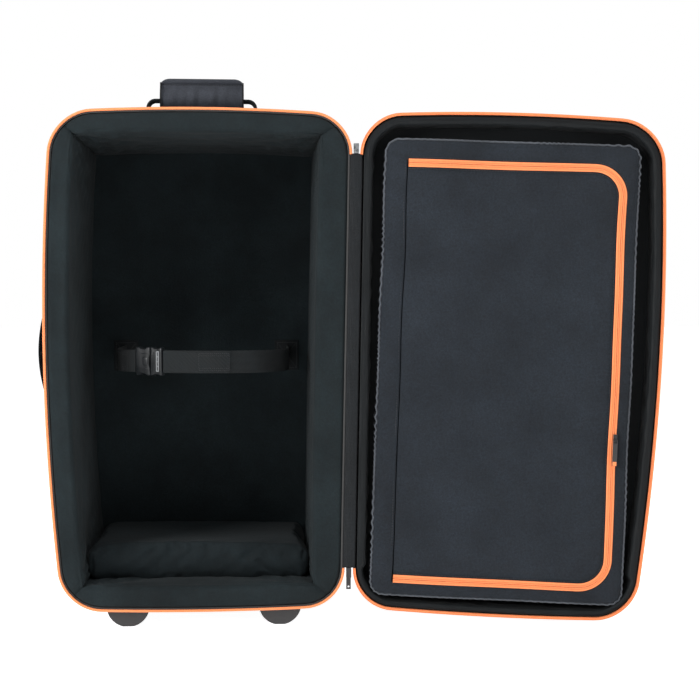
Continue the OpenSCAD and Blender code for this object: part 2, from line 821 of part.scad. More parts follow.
// The slider rides on the border's half of the zipper
track_x = zip_x - zip_w - 0.5;
slider_front = pouch_front + zip_t + pass_gap / 2;
zip_slider_t = 2;
zip_pin_y = slider_front + zip_slider_t + pass_gap + cheek_r;
zip_pin_z = ground_gap + pouch_low + zip_slider_z;
module pouch_slider() {
    color(webbing_black) open_lid() difference() {
        union() {
            translate([track_x, slider_front, zip_pin_z - 8]) cube([zip_w, zip_slider_t, 18]);
            translate([track_x + zip_w / 2 - 1.5, slider_front, zip_pin_z - 2])
                cube([3, zip_pin_y + 2 * pin_r - slider_front, 4]);
        }
        translate([track_x, zip_pin_y, zip_pin_z]) rotate([0, 90, 0])
            cylinder(h = zip_w, r = pin_r + axle_fit);
    }
}
module pouch_pull() {
    color(webbing_black) open_lid() translate([track_x + zip_w / 2, zip_pin_y, zip_pin_z])
        pull_tab(zip_pull_l);
}

body_gusset();
body_back_panel();
body_stiffener();
body_back_board();
foam_free_side();
foam_hinge_side();
foam_top();
foam_bottom();
foam_back();
base_block();
body_zip_tape();
body_zip_coil();
body_piping();
hinge_band();
top_slider();
top_pull();
bottom_slider();
bottom_pull();
strap_anchors();
strap_left();
buckle_socket();
buckle_insert();
strap_right();
top_handle_patches();
top_handle_webbing();
top_handle_wrap();
side_handle_patches();
side_handle_webbing();
front_feet();
foot_screws();
wheel_housings();
housing_screws();
wheel_axles();
free_wheel_hub();
free_wheel_tyre();
hinge_wheel_hub();
hinge_wheel_tyre();
lid_gusset();
lid_face_panel();
lid_board();
lid_foam_panel();
lid_wall_free();
lid_wall_hinge();
lid_wall_top();
lid_wall_bottom();
lid_zip_tape();
lid_zip_coil();
lid_piping();
pouch_back();
pouch_sides();
pouch_border();
pouch_border_zip();
pouch_flap();
pouch_flap_zip();
pouch_slider();
pouch_pull();
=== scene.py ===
import json
import math

import bmesh
import bpy
import numpy as np
from mathutils import Matrix, Vector


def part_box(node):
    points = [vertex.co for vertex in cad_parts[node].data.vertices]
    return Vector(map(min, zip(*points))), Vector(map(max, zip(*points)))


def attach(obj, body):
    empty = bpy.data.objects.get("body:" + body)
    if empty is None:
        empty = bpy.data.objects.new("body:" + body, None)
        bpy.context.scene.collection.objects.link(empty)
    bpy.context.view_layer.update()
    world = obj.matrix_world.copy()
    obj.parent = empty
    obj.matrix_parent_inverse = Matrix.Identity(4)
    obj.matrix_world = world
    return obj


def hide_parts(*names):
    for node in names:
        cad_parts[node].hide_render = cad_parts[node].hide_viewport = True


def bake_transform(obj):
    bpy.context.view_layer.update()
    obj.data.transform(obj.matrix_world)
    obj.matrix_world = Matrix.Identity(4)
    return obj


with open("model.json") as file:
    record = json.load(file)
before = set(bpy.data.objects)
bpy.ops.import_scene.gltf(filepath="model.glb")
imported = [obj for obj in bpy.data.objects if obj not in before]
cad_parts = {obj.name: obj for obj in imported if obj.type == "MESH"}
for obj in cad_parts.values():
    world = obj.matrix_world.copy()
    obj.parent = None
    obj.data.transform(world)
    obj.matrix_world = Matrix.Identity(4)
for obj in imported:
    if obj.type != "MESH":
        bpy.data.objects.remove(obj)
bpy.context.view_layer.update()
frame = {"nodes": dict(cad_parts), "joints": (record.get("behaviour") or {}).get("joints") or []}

# ---------------------------------------------------------------- sizes, in millimetres
# Positions on the case are [x from the hinge line, depth from the rim, height above the case's bottom].
TOP_W, BOTTOM_W, CASE_H = 519, 488, 860
BODY_D, LID_D = 390, 75
CORNER_R = 68
SIDE_BOW, TOP_CROWN, BOTTOM_CROWN = 22, 9, 6
HINGE_GAP = 8
RIM, TAPE_W = 5.0, 15  # how far back the zipper's coil reaches, and the width of its tape
# The thickness of the foam on each side of the body's opening and the lid's, and their depths
BAY = dict(free=42, hinge=56, top=41, bottom=44, depth=344)
TRAY = dict(top=20, bottom=15, depth=57)
BLOCK_H = 56
MM = 0.001
TAU = 6.283
BACK, UP = np.array([0, 1.0, 0]), np.array([0, 0, 1.0])

JOINTS = {j["name"]: j for j in frame["joints"]}
HINGE = JOINTS["lid_hinge"]
FOOT = np.array(HINGE["pos_m"])
AXIS = np.array(HINGE["axis"])
LID_OPEN = math.radians(-HINGE["range_deg"][0])
TURN = np.array(Matrix.Rotation(LID_OPEN, 3, Vector(AXIS)))
LEAN = math.atan2(AXIS[0], AXIS[2])
MID_X = -HINGE_GAP - (TOP_W + BOTTOM_W) / 4


def in_body(p):
    """Design millimetres to the frame's metres, on the body."""
    return FOOT + np.asarray(p, float) * MM


def in_lid(p):
    """The same for a point of the closed lid, turned open."""
    return FOOT + (np.asarray(p, float) * MM) @ TURN.T


def from_frame(p):
    """The frame's metres back to design millimetres on the body."""
    return (np.asarray(p, float) - FOOT) * 1000


# ---------------------------------------------------------------- outlines
def swell(p):
    """Bows an outline of [x, height]: its free side, top and bottom are slightly convex."""
    up = 2 * p[:, 1] / CASE_H - 1
    across = (p[:, 0] - MID_X) / ((TOP_W + BOTTOM_W) / 4)
    bow = SIDE_BOW * np.clip(1 - up * up, 0, None) * (1 - across) / 2
    crown = np.where(up > 0, TOP_CROWN, -BOTTOM_CROWN) * np.abs(up)
    crown = crown * np.clip(1 - across * across, 0, None)
    return np.stack([p[:, 0] - bow, p[:, 1] + crown], 1)


def hinge_side(z):
    """x of the leaning hinge side at a height."""
    return math.tan(LEAN) * z - HINGE_GAP


def free_side(z):
    """x of the leaning free side at a height, before it is bowed."""
    return -math.tan(LEAN) * z - HINGE_GAP - BOTTOM_W


def arc(centre, r, start, end, n=14):
    """n points of an arc in a plane, between two angles in degrees."""
    a = np.radians(np.linspace(start, end, n))
    return np.stack([centre[0] + r * np.cos(a), centre[1] + r * np.sin(a)], 1)


def line(p, q, n):
    """The points strictly between p and q."""
    t = np.linspace(0, 1, n + 2)[1:-1, None]
    return p + (q - p) * t


def zip_path():
    """The rim from the top of the hinge band, over the top and the free side, to its bottom."""
    lean = math.degrees(LEAN)
    reach = CORNER_R / math.cos(LEAN)
    low, high = CORNER_R, CASE_H - CORNER_R
    b = arc((hinge_side(high) - reach, high), CORNER_R, -lean, 90)
    c = arc((free_side(high) + reach, high), CORNER_R, 90, 180 + lean)
    d = arc((free_side(low) + reach, low), CORNER_R, 180 + lean, 270)
    a = arc((hinge_side(low) - reach, low), CORNER_R, 270, 360 - lean)
    top, side, bottom = line(b[-1], c[0], 24), line(c[-1], d[0], 36), line(d[-1], a[0], 24)
    return swell(np.concatenate([b, top, c, side, d, bottom, a]))


def rim_path():
    """The whole closed rim: the zipper's path and the hinge's straight stretch."""
    path = zip_path()
    return np.concatenate([path, line(path[-1], path[0], 30)])


def lengths(path, closed=False):
    """How far along a path each of its points is."""
    ends = np.concatenate([path, path[:1]]) if closed else path
    return np.concatenate([[0], np.cumsum(np.linalg.norm(np.diff(ends, axis=0), axis=1))])


def resample(path, n, closed=False):
    """n points evenly spaced along the path."""
    s = lengths(path, closed)
    ends = np.concatenate([path, path[:1]]) if closed else path
    t = np.linspace(0, s[-1], n + 1)[:-1] if closed else np.linspace(0, s[-1], n)
    return np.stack([np.interp(t, s, ends[:, k]) for k in range(path.shape[1])], 1)


def unit(v):
    """Vectors scaled to length 1."""
    return v / np.linalg.norm(v, axis=1)[:, None]


def outward(path, closed=False):
    """Unit normals of a path in a plane, on the right of its direction of travel: outwards on the rim."""
    if closed:
        d = np.roll(path, -1, 0) - np.roll(path, 1, 0)
    else:
        d = np.gradient(path, axis=0)
    d = unit(d)
    return np.stack([d[:, 1], -d[:, 0]], 1)


def away(path, closed=False):
    """The same normals, but always pointing away from the middle of the path."""
    n = outward(path, closed)
    return n if ((path - path.mean(0)) * n).sum() > 0 else -n


def lift(path, depth=0.0):
    """A path or directions of [x, height] as [x, depth, height]."""
    return np.stack([path[:, 0], np.full(len(path), float(depth)), path[:, 1]], 1)


# ---------------------------------------------------------------- meshes
def ripple(u, v, seed, waves=6):
    """Smooth repeatable noise about zero: u and v are in wavelengths."""
    rng = np.random.default_rng(seed)
    total = np.zeros(np.broadcast(u, v).shape)
    for _ in range(waves):
        fu, fv, phase = rng.uniform(-1.4, 1.4), rng.uniform(-1.4, 1.4), rng.uniform(0, TAU)
        total = total + np.sin(TAU * (fu * u + fv * v) + phase)
    return total / math.sqrt(waves)


def bump_at(x, centre, width):
    """A bell curve of height 1."""
    return np.exp(-(((x - centre) / width) ** 2))


def finish_mesh(name, verts, faces, place, uvs=None, sharp=38):
    """Makes an object from design points, with outward faces and shading split at sharp edges."""
    mesh = bpy.data.meshes.new(name)
    mesh.from_pydata([tuple(p) for p in place(verts)], [], [list(f) for f in faces])
    if uvs is not None:
        layer = mesh.uv_layers.new(name="cloth")
        corner = np.zeros(len(mesh.loops), int)
        mesh.loops.foreach_get("vertex_index", corner)
        layer.data.foreach_set("uv", np.asarray(uvs)[corner].astype(np.float32).ravel())
    bm = bmesh.new()
    bm.from_mesh(mesh)
    bmesh.ops.recalc_face_normals(bm, faces=bm.faces)
    for f in bm.faces:
        f.smooth = True
    for e in bm.edges:
        e.smooth = e.calc_face_angle(0) < math.radians(sharp)
    bm.to_mesh(mesh)
    bm.free()
    obj = bpy.data.objects.new(name, mesh)
    bpy.context.scene.collection.objects.link(obj)
    return obj


def dress(obj, body, material, replaces=()):
    """Gives a piece its material, body, material slot and replaced CAD nodes; returns it."""
    obj.data.materials.clear()
    obj.data.materials.append(material)
    if isinstance(body, str):
        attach(obj, body)
    if replaces:
        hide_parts(*replaces)
    return obj


def tube_faces(n, m, closed=False):
    """The faces of n cross-sections of m points each, with two caps unless it is closed along."""
    i, j = np.meshgrid(np.arange(n if closed else n - 1), np.arange(m), indexing="ij")
    i2, j2 = (i + 1) % n, (j + 1) % m
    faces = np.stack([i * m + j, i * m + j2, i2 * m + j2, i2 * m + j], -1).reshape(-1, 4).tolist()
    if not closed:
        faces.append(list(range(m)))
        faces.append([(n - 1) * m + k for k in reversed(range(m))])
    return faces


def grid_mesh(name, grid, place, closed=False, sharp=38):
    """A tube of cross-sections grid[along, round], capped unless it is closed along."""
    n, m = grid.shape[:2]
    along = lengths(grid.mean(1))[:, None] * np.ones((1, m))
    across = np.ones((n, 1)) * lengths(grid[n // 2])[None, :]
    uvs = np.stack([along, across], -1).reshape(-1, 2) * MM
    return finish_mesh(name, grid.reshape(-1, 3), tube_faces(n, m, closed), place, uvs, sharp)


def disc_mesh(name, rows, place, uvs):
    """A closed skin rows[round, across]: across goes from the middle of one face, over the edge, to the other."""
    n, m = rows.shape[:2]
    verts = rows.reshape(-1, 3)
    i, j = np.meshgrid(np.arange(n), np.arange(m - 1), indexing="ij")
    i2 = (i + 1) % n
    faces = np.stack([i * m + j, i * m + j + 1, i2 * m + j + 1, i2 * m + j], -1).reshape(-1, 4).tolist()
    middles = np.stack([rows[:, 0].mean(0), rows[:, -1].mean(0)])
    base = len(verts)
    for k in range(n):
        after = (k + 1) % n * m
        faces.append([base, k * m, after])
        faces.append([base + 1, after + m - 1, k * m + m - 1])
    uvs = np.concatenate([uvs.reshape(-1, 2), uvs[:, 0].mean(0)[None], uvs[:, -1].mean(0)[None]]) * MM
    return finish_mesh(name, np.concatenate([verts, middles]), faces, place, uvs)


def sweep(points, a, b, profile):
    """Cross-sections of (a, b) offsets along points: the profile may differ at each point."""
    profile = np.asarray(profile, float)
    if profile.ndim == 2:
        profile = np.broadcast_to(profile, (len(points),) + profile.shape)
    a = np.broadcast_to(a, points.shape)
    b = np.broadcast_to(b, points.shape)
    return points[:, None, :] + a[:, None, :] * profile[..., :1] + b[:, None, :] * profile[..., 1:]


def around_rim(path, profile, closed=False):
    """Sweeps (outwards, depth) offsets along a rim path."""
    return sweep(lift(path), lift(outward(path, closed)), BACK, profile)


def strip_profile(a0, a1, b0, b1, r, n=3):
    """A rectangle from (a0, b0) to (a1, b1) with rounded corners."""
    r = min(r, abs(a1 - a0) / 2.01, abs(b1 - b0) / 2.01)
    centres = ((a1 - r, b1 - r), (a0 + r, b1 - r), (a0 + r, b0 + r), (a1 - r, b0 + r))
    return np.concatenate([arc(c, r, 90 * k, 90 * k + 90, n + 1) for k, c in enumerate(centres)])


def taken(bm):
    """A bmesh's vertices and faces; the bmesh is freed."""
    bm.verts.index_update()
    verts = np.array([tuple(v.co) for v in bm.verts])
    faces = [[v.index for v in f.verts] for f in bm.faces]
    bm.free()
    return verts, faces


def block(lo, hi, r):
    """Vertices and faces of a box with rounded edges."""
    bm = bmesh.new()
    bmesh.ops.create_cube(bm, size=1)
    lo, hi = np.array(lo, float), np.array(hi, float)
    for v in bm.verts:
        v.co = Vector((lo + hi) / 2 + np.array(v.co) * (hi - lo))
    if r > 0:
        r = min(r, float((hi - lo).min()) * 0.49)
        bmesh.ops.bevel(bm, geom=bm.edges[:], offset=r, segments=3, profile=0.5, affect="EDGES")
    return taken(bm)


def tube(path, r, n):
    """Vertices and faces of a round bar of n sides along a path of points."""
    d = unit(np.gradient(path, axis=0))
    side = unit(np.cross(d, UP if abs(d[:, 2]).max() < 0.9 else BACK))
    grid = sweep(path, side, np.cross(side, d), arc((0, 0), r, 0, 360, n + 1)[:-1])
    return grid.reshape(-1, 3), tube_faces(*grid.shape[:2])


def joined(*parts):
    """Several vertex and face lists as one."""
    verts, faces, base = [], [], 0
    for v, f in parts:
        verts.append(v)
        faces += [[i + base for i in face] for face in f]
        base += len(v)
    return np.concatenate(verts), faces


# One stitch's corners as shares of its length, width and height, and its faces
STITCH = ((-.5, -.5, 0), (.5, -.5, 0), (.5, .5, 0), (-.5, .5, 0),
          (-.32, -.3, 1), (.32, -.3, 1), (.32, .3, 1), (-.32, .3, 1))
STITCH_FACES = np.array([[0, 3, 2, 1], [4, 5, 6, 7], [0, 1, 5, 4], [1, 2, 6, 5], [2, 3, 7, 6], [3, 0, 4, 7]])


def stitches(name, rows, place, body, pitch=4.6, length=3.1, width=0.9, height=0.55):
    """One object of thread stitches: each row is points, with the cloth's outward direction at each."""
    parts = []
    for points, normal in rows:
        normal = np.broadcast_to(normal, points.shape)
        count = max(2, int(lengths(points)[-1] / pitch))
        p = resample(np.concatenate([points, normal], 1), count * 2 + 1)
        mid, n = p[1::2, :3], unit(p[1::2, 3:])
        t = unit(p[2::2, :3] - p[0:-1:2, :3])
        b = np.cross(t, n)
        corners = [mid + t * along * length + b * across * width + n * (up * height - 0.1)
                   for along, across, up in STITCH]
        verts = np.stack(corners, 1).reshape(-1, 3)
        faces = (np.arange(len(mid))[:, None, None] * len(STITCH) + STITCH_FACES).reshape(-1, 4).tolist()
        parts.append((verts, faces))
    verts, faces = joined(*parts)
    return dress(finish_mesh(name, verts, faces, place, sharp=60), body, THREAD)


def cut(obj, lo, hi):
    """Takes a box, in design millimetres on the body, out of a closed piece."""
    verts, faces = block(lo, hi, 0)
    tool = finish_mesh("cutter", verts, faces, in_body)
    mod = obj.modifiers.new("cut", "BOOLEAN")
    mod.operation, mod.solver, mod.object = "DIFFERENCE", "EXACT", tool
    apply_modifiers(obj)
    bpy.data.objects.remove(tool)


def apply_modifiers(obj):
    """Bakes a piece's modifiers into its mesh."""
    bpy.context.view_layer.update()
    done = bpy.data.meshes.new_from_object(obj.evaluated_get(bpy.context.evaluated_depsgraph_get()))
    obj.modifiers.clear()
    old, obj.data = obj.data, done
    bpy.data.meshes.remove(old)


def points_of(obj):
    return np.array([tuple(v.co) for v in obj.data.vertices])


def move_points(obj, points):
    obj.data.vertices.foreach_set("co", points.astype(np.float32).ravel())
    obj.data.update()


# ---------------------------------------------------------------- materials
class Nodes:
    """A short way to write one shader's nodes."""

    def __init__(self, name):
        self.material = bpy.data.materials.new(name)
        self.material.use_nodes = True
        self.tree = self.material.node_tree
        self.shader = self.tree.nodes["Principled BSDF"]

    def add(self, kind, inputs=None, **settings):
        node = self.tree.nodes.new(kind)
        for key, value in settings.items():
            setattr(node, key, value)
        for key, value in (inputs or {}).items():
            if isinstance(value, bpy.types.NodeSocket):
                self.tree.links.new(value, node.inputs[key])
            else:
                node.inputs[key].default_value = value
        return node

    def math(self, operation, a, b=0.0):
        return self.add("ShaderNodeMath", {0: a, 1: b}, operation=operation).outputs[0]

    def coords(self, kind="Object"):
        return self.add("ShaderNodeTexCoord").outputs[kind]

    def noise(self, where, scale, detail=3.0, rough=0.55):
        inputs = {"Vector": where, "Scale": scale, "Detail": detail, "Roughness": rough}
        return self.add("ShaderNodeTexNoise", inputs).outputs["Fac"]

    def bands(self, where, spacing, distortion, detail=2.0, direction="X"):
        """Parallel bands, the given number of metres apart."""
        inputs = {"Vector": where, "Scale": 0.314 / spacing, "Distortion": distortion, "Detail": detail}
        return self.add("ShaderNodeTexWave", inputs, bands_direction=direction).outputs["Fac"]

    def between(self, value, low, high, out_low, out_high):
        made = self.add("ShaderNodeMapRange", {0: value, 1: low, 2: high, 3: out_low, 4: out_high})
        return made.outputs[0]

    def paint(self, colour, factor):
        """The base colour: one colour made darker or lighter by a factor about 1."""
        base = self.add("ShaderNodeCombineXYZ", dict(enumerate(colour))).outputs[0]
        grey = self.add("ShaderNodeCombineXYZ", {0: factor, 1: factor, 2: factor}).outputs[0]
        made = self.add("ShaderNodeVectorMath", {0: base, 1: grey}, operation="MULTIPLY")
        self.link(made.outputs[0], "Base Color")

    def link(self, socket, key):
        self.tree.links.new(socket, self.shader.inputs[key])

    def set(self, **values):
        """Sets the shader's own sockets; an underscore stands for a space."""
        for key, value in values.items():
            self.shader.inputs[key.replace("_", " ")].default_value = value

    def bump(self, height, distance):
        made = self.add("ShaderNodeBump", {"Height": height, "Distance": distance, "Strength": 1.0})
        self.link(made.outputs[0], "Normal")


def cloth(name, colour, weave, depth=0.00025, rough=0.85, sheen=0.15, coords="UV", mottle=0.25, slub=0.35):
    """A woven cloth: crossed threads, fibre speckle, soft blotches and a little sheen."""
    n = Nodes(name)
    where, place = n.coords(coords), n.coords()
    if coords == "UV":
        warp = n.bands(where, weave, 0.6, 1.0)
        weft = n.bands(where, weave, 0.6, 1.0, "Y")
        threads = n.math("MULTIPLY", n.math("ADD", warp, weft), 0.5)
    else:
        threads = n.noise(where, 0.55 / weave, 2.0)
    fibre = n.noise(place, 1400, 2.0)
    blotch = n.noise(place, 9, 3.0)
    streak = n.noise(place, 60, 4.0, 0.6)
    nap = n.noise(place, 320, 3.0, 0.7)
    factor = n.math("ADD", n.between(threads, 0.1, 0.9, 1 - slub * 0.5, 1 + slub * 0.4),
                    n.between(fibre, 0.3, 0.7, -slub * 0.4, slub * 0.4))
    for pattern, darker, lighter in (
        (blotch, mottle, mottle), (streak, mottle * 0.5, mottle * 0.5), (nap, slub * 0.6, slub * 0.7),
    ):
        factor = n.math("MULTIPLY", factor, n.between(pattern, 0.3, 0.7, 1 - darker, 1 + lighter))
    n.paint(colour, factor)
    n.link(n.between(streak, 0.3, 0.7, rough - 0.06, rough + 0.06), "Roughness")
    n.set(Sheen_Weight=sheen, Sheen_Roughness=0.45, Specular_IOR_Level=0.18)
    fuzz = n.math("ADD", n.math("MULTIPLY", fibre, 0.5), n.math("MULTIPLY", nap, 1.5))
    n.bump(n.math("ADD", threads, fuzz), depth)
    return n.material


def webbing(name, colour, rib=0.0016):
    """Flat woven webbing: ribs across it, a herringbone of finer threads and fuzzy, lighter wear."""
    n = Nodes(name)
    where, place = n.coords("UV"), n.coords()
    ribs = n.bands(where, rib, 0.4)
    cross = n.bands(where, rib * 2.2, 1.0, direction="DIAGONAL")
    fibre = n.noise(place, 1100, 2.0)
    wear = n.noise(place, 34, 4.0, 0.6)
    factor = n.math("ADD", n.between(ribs, 0, 1, 0.7, 1.15), n.between(fibre, 0.3, 0.7, -0.2, 0.25))
    n.paint(colour, n.math("MULTIPLY", factor, n.between(wear, 0.4, 0.75, 0.9, 1.5)))
    n.link(n.between(wear, 0.3, 0.7, 0.62, 0.8), "Roughness")
    n.set(Sheen_Weight=0.03, Specular_IOR_Level=0.2)
    n.bump(n.math("ADD", ribs, n.math("MULTIPLY", cross, 0.6)), 0.0004)
    return n.material


def plastic(name, colour, rough=0.5, grain=900, depth=0.00006, gloss=0.4):
    """Moulded plastic: fine grain, handling marks and edges worn lighter."""
    n = Nodes(name)
    place = n.coords()
    fine = n.noise(place, grain, 2.0)
    marks = n.noise(place, 45, 5.0, 0.65)
    edge = n.add("ShaderNodeNewGeometry").outputs["Pointiness"]
    worn = n.between(edge, 0.52, 0.62, 0.0, 0.7)
    n.paint(colour, n.math("ADD", n.between(marks, 0.35, 0.7, 0.9, 1.15), worn))
    n.link(n.between(marks, 0.3, 0.7, rough - 0.1, rough + 0.12), "Roughness")
    n.set(Specular_IOR_Level=gloss)
    n.bump(fine, depth)
    return n.material


def metal(name, colour, rough=0.28):
    """Plated metal with fine brushed streaks and dull patches."""
    n = Nodes(name)
    place = n.coords()
    stretched = n.add("ShaderNodeMapping", {"Vector": place, "Scale": (900, 900, 90)}).outputs[0]
    streak = n.noise(stretched, 1.0, 2.0)
    dull = n.noise(place, 120, 3.0)
    n.paint(colour, n.between(streak, 0.3, 0.7, 0.85, 1.1))
    n.set(Metallic=1.0)
    n.link(n.between(dull, 0.3, 0.7, rough - 0.08, rough + 0.15), "Roughness")
    n.bump(streak, 0.00002)
    return n.material


LINING = cloth("lining_cloth", (0.0084, 0.0128, 0.0145),
               weave=0.0016, depth=0.0003, rough=0.92, sheen=0.02, mottle=0.3)
LINING_SOFT = cloth("lining_cloth_soft", (0.0060, 0.0095, 0.0110),
                    weave=0.0016, rough=0.92, sheen=0.02, coords="Object")
SATIN = cloth("lid_lining_cloth", (0.0034, 0.0046, 0.0054), weave=0.0012, depth=0.0001, rough=0.6, sheen=0.02)
SHELL = cloth("shell_nylon", (0.0075, 0.0080, 0.0092),
              weave=0.0022, depth=0.0005, rough=0.72, sheen=0.03, slub=0.7)
POUCH = cloth("pouch_nylon", (0.0106, 0.0140, 0.0188),
              weave=0.0022, depth=0.0004, rough=0.78, sheen=0.03, slub=0.5)
BINDING = cloth("pouch_binding", (0.060, 0.067, 0.078), weave=0.0009, depth=0.0003, rough=0.6, sheen=0.1)
WRAP = cloth("wrap_cloth", (0.030, 0.033, 0.041), weave=0.0018, depth=0.0004, rough=0.82, sheen=0.05)
BAND = cloth("hinge_band_cloth", (0.0050, 0.0064, 0.0078), weave=0.0024, depth=0.0004, rough=0.5, sheen=0.02)
ORANGE = cloth("orange_zip", (0.80, 0.240, 0.090),
               weave=0.0010, depth=0.0002, rough=0.5, sheen=0.05, mottle=0.05, slub=0.12)
WEBBING = webbing("black_webbing", (0.0055, 0.0075, 0.0085))
THREAD = cloth("thread", (0.022, 0.023, 0.026), weave=0.0004, depth=0.0001, rough=0.6, coords="Object")
PLASTIC = plastic("moulded_plastic", (0.016, 0.0155, 0.016))
GLOSSY = plastic("buckle_plastic", (0.006, 0.007, 0.008), rough=0.36, gloss=0.22)
GREY_BAR = plastic("adjuster_bar", (0.13, 0.135, 0.14), rough=0.4, gloss=0.3)
RUBBER = plastic("tyre_rubber", (0.012, 0.012, 0.012), rough=0.75, grain=500, depth=0.0002)
STEEL = metal("plated_steel", (0.48, 0.49, 0.50))
DARK_METAL = metal("dark_slider", (0.055, 0.053, 0.055), rough=0.35)
BOARD = plastic("stiffening_board", (0.02, 0.02, 0.02), rough=0.7)

# ---------------------------------------------------------------- outer shells
RIM_LOOP = resample(rim_path(), 260, closed=True)
RIM_OPEN = resample(zip_path(), 240)


def shell(name, place, sign, depth, replaces):
    """The outer fabric of one half: the gusset from the zipper back, and the panel across it, 3 mm thick."""
    n = outward(RIM_LOOP, True)
    middle = np.array([MID_X, CASE_H / 2])
    s = lengths(RIM_LOOP, True)[:-1]
    rows, uvs = [], []

    def ring(inset, y, slack=0.0):
        """A ring of the gusset, inset from the outline at a depth."""
        sag = ripple(s / 160, y / 90 + 0 * s, 5) * 0.6 * slack
        rows.append(lift(RIM_LOOP - n * (inset - sag)[:, None], sign * y))
        uvs.append(np.stack([s, y + 0 * s], 1))

    def panel(share, y, slack=0.0):
        """A ring of the panel across the case, at a share of the way out from its middle."""
        p = middle + (RIM_LOOP - n * 6 - middle) * share
        dip = np.abs(ripple(p[:, 0] / 300, p[:, 1] / 300, 9)) * slack
        rows.append(np.stack([p[:, 0], sign * (y - dip), p[:, 1]], 1))
        uvs.append(p)

    shares = (0.03, 0.12, 0.22, 0.32, 0.42, 0.52, 0.6, 0.68, 0.75, 0.81, 0.86, 0.9, 0.93, 0.96, 0.985)
    for share in shares:
        panel(share, depth, 0.9 * (1 - share ** 6))
    for inset, y in ((6.0, depth), (3.2, depth - 0.3), (1.2, depth - 1.6), (0.3, depth - 4)):
        ring(inset, y)
    along = np.linspace(depth - 7, RIM, 16 if depth > 100 else 6)
    for k, y in enumerate(along):
        ring(0, y, math.sin(math.pi * k / (len(along) - 1)))
    for y in along[::-1]:
        ring(2.8, min(y, depth - 6))
    ring(6.0, depth - 3)
    for share in reversed(shares):
        panel(share, depth - 3)
    obj = disc_mesh(name, np.stack(rows, 1), place, np.stack(uvs, 1))
    return dress(obj, None, SHELL, replaces)


body_shell = shell("body_shell", in_body, 1, BODY_D, ("body_gusset", "body_back_panel"))
lid_shell = shell("lid_shell", in_lid, -1, LID_D, ("lid_gusset", "lid_face_panel"))
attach(lid_shell, "lid")


def rim_tube(name, place, sign, depth, out, r, body, replaces, pockets=False):
    """A corded edge all round a shell."""
    loop = resample(rim_path(), 420, closed=True)
    circle = arc((out, sign * depth), r, 0, 360, 11)[:-1]
    obj = grid_mesh(name, around_rim(loop, circle, True), place, closed=True)
    if pockets:
        for lo, hi in pocket_boxes():
            cut(obj, lo, hi)
    return dress(obj, body, SHELL, replaces)


def pocket_boxes():
    """The two openings that the wheel housings fill, in design millimetres."""
    lo, hi = from_frame(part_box("wheel_housings"))
    mids = [from_frame(box)[:, 0].mean() for box in (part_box("free_wheel_hub"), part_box("hinge_wheel_hub"))]
    half = hi[0] - mids[1]
    return [((mid - half, lo[1], -80), (mid + half, BODY_D + 40, hi[2])) for mid in mids]


for low, high in pocket_boxes():
    cut(body_shell, low, high)
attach(body_shell, "case_body")
rim_tube("body_piping_cord", in_body, 1, BODY_D - 3, 0.6, 2.6, "case_body", ("body_piping",), pockets=True)
rim_tube("lid_piping_cord", in_lid, -1, LID_D - 3, 0.6, 2.6, "lid", ("lid_piping",))


# ---------------------------------------------------------------- main zipper
def zipper(name, place, sign, body, coil_node, tape_node):
    """Half of the main zipper: the tape sewn on the gusset, and the ribbed orange coil on the rim."""
    tape = around_rim(RIM_OPEN, strip_profile(-0.2, 1.0, sign * RIM, sign * (RIM + TAPE_W), 0.5))
    dress(grid_mesh(name + "_tape", tape, place), body, SHELL, (tape_node,))
    pitch = 2.8
    total = lengths(zip_path())[-1]
    path = resample(zip_path(), int(total / pitch * 4))
    s = np.linspace(0, total, len(path))
    tooth = 0.5 + 0.5 * np.sin(TAU * s / pitch)
    edge = strip_profile(-3.4, 0.9, sign * 0.3, sign * (RIM - 0.1), 1.6, 3)
    profile = np.repeat(edge[None], len(path), 0)
    front = np.abs(profile[..., 1]) < RIM * 0.55
    profile[..., 0] -= tooth[:, None] * 0.35 * (profile[..., 0] < -1.5)
    profile[..., 1] += sign * tooth[:, None] * 0.28 * front
    coil = grid_mesh(name + "_coil", around_rim(path, profile), place, sharp=60)
    dress(coil, body, ORANGE, (coil_node,))
    n = outward(RIM_OPEN)
    rows = [(lift(RIM_OPEN + n, sign * depth), lift(n)) for depth in (RIM + 3, RIM + TAPE_W - 2.5)]
    stitches(name + "_stitches", rows, place, body)


zipper("body_zip", in_body, 1, "case_body", "body_zip_coil", "body_zip_tape")
zipper("lid_zip", in_lid, -1, "lid", "lid_zip_coil", "lid_zip_tape")


# ---------------------------------------------------------------- lining
def opening_corners(sizes):
    """The corners of an opening, from the hinge side's bottom round: sizes are the foam's thicknesses."""
    low, high = sizes["bottom"], CASE_H - sizes["top"]
    return np.array([
        [hinge_side(low) - sizes["hinge"], low],
        [hinge_side(high) - sizes["hinge"], high],
        [free_side(high) + sizes["free"], high],
        [free_side(low) + sizes["free"], low],
    ])


EDGE_CORNERS = opening_corners(dict(free=0, hinge=0, top=0, bottom=0))


def wall_lines(sizes, side, inset, n):
    """The inner line of one wall between two mitres, and the outer line beside it."""
    corners = opening_corners(sizes)
    inner = swell(corners)
    dense = resample(rim_path(), 2400, closed=True)
    dense = dense - outward(dense, True) * inset
    at = []
    for k in (side, (side + 1) % 4):
        d = EDGE_CORNERS[k] - inner[k]
        off = (dense - inner[k]) @ np.array([-d[1], d[0]])
        ahead = (dense - inner[k]) @ d > 0
        hits = np.nonzero((off * np.roll(off, -1) < 0) & ahead)[0]
        at.append(int(hits[0]))
    start, end = at[0], at[1] + (len(dense) if at[1] < at[0] else 0)
    outer = resample(dense[np.arange(start, end + 1) % len(dense)], n)
    a, b = corners[side], corners[(side + 1) % 4]
    inside = swell(a + (b - a) * np.linspace(0, 1, n)[:, None])
    return inside, outer


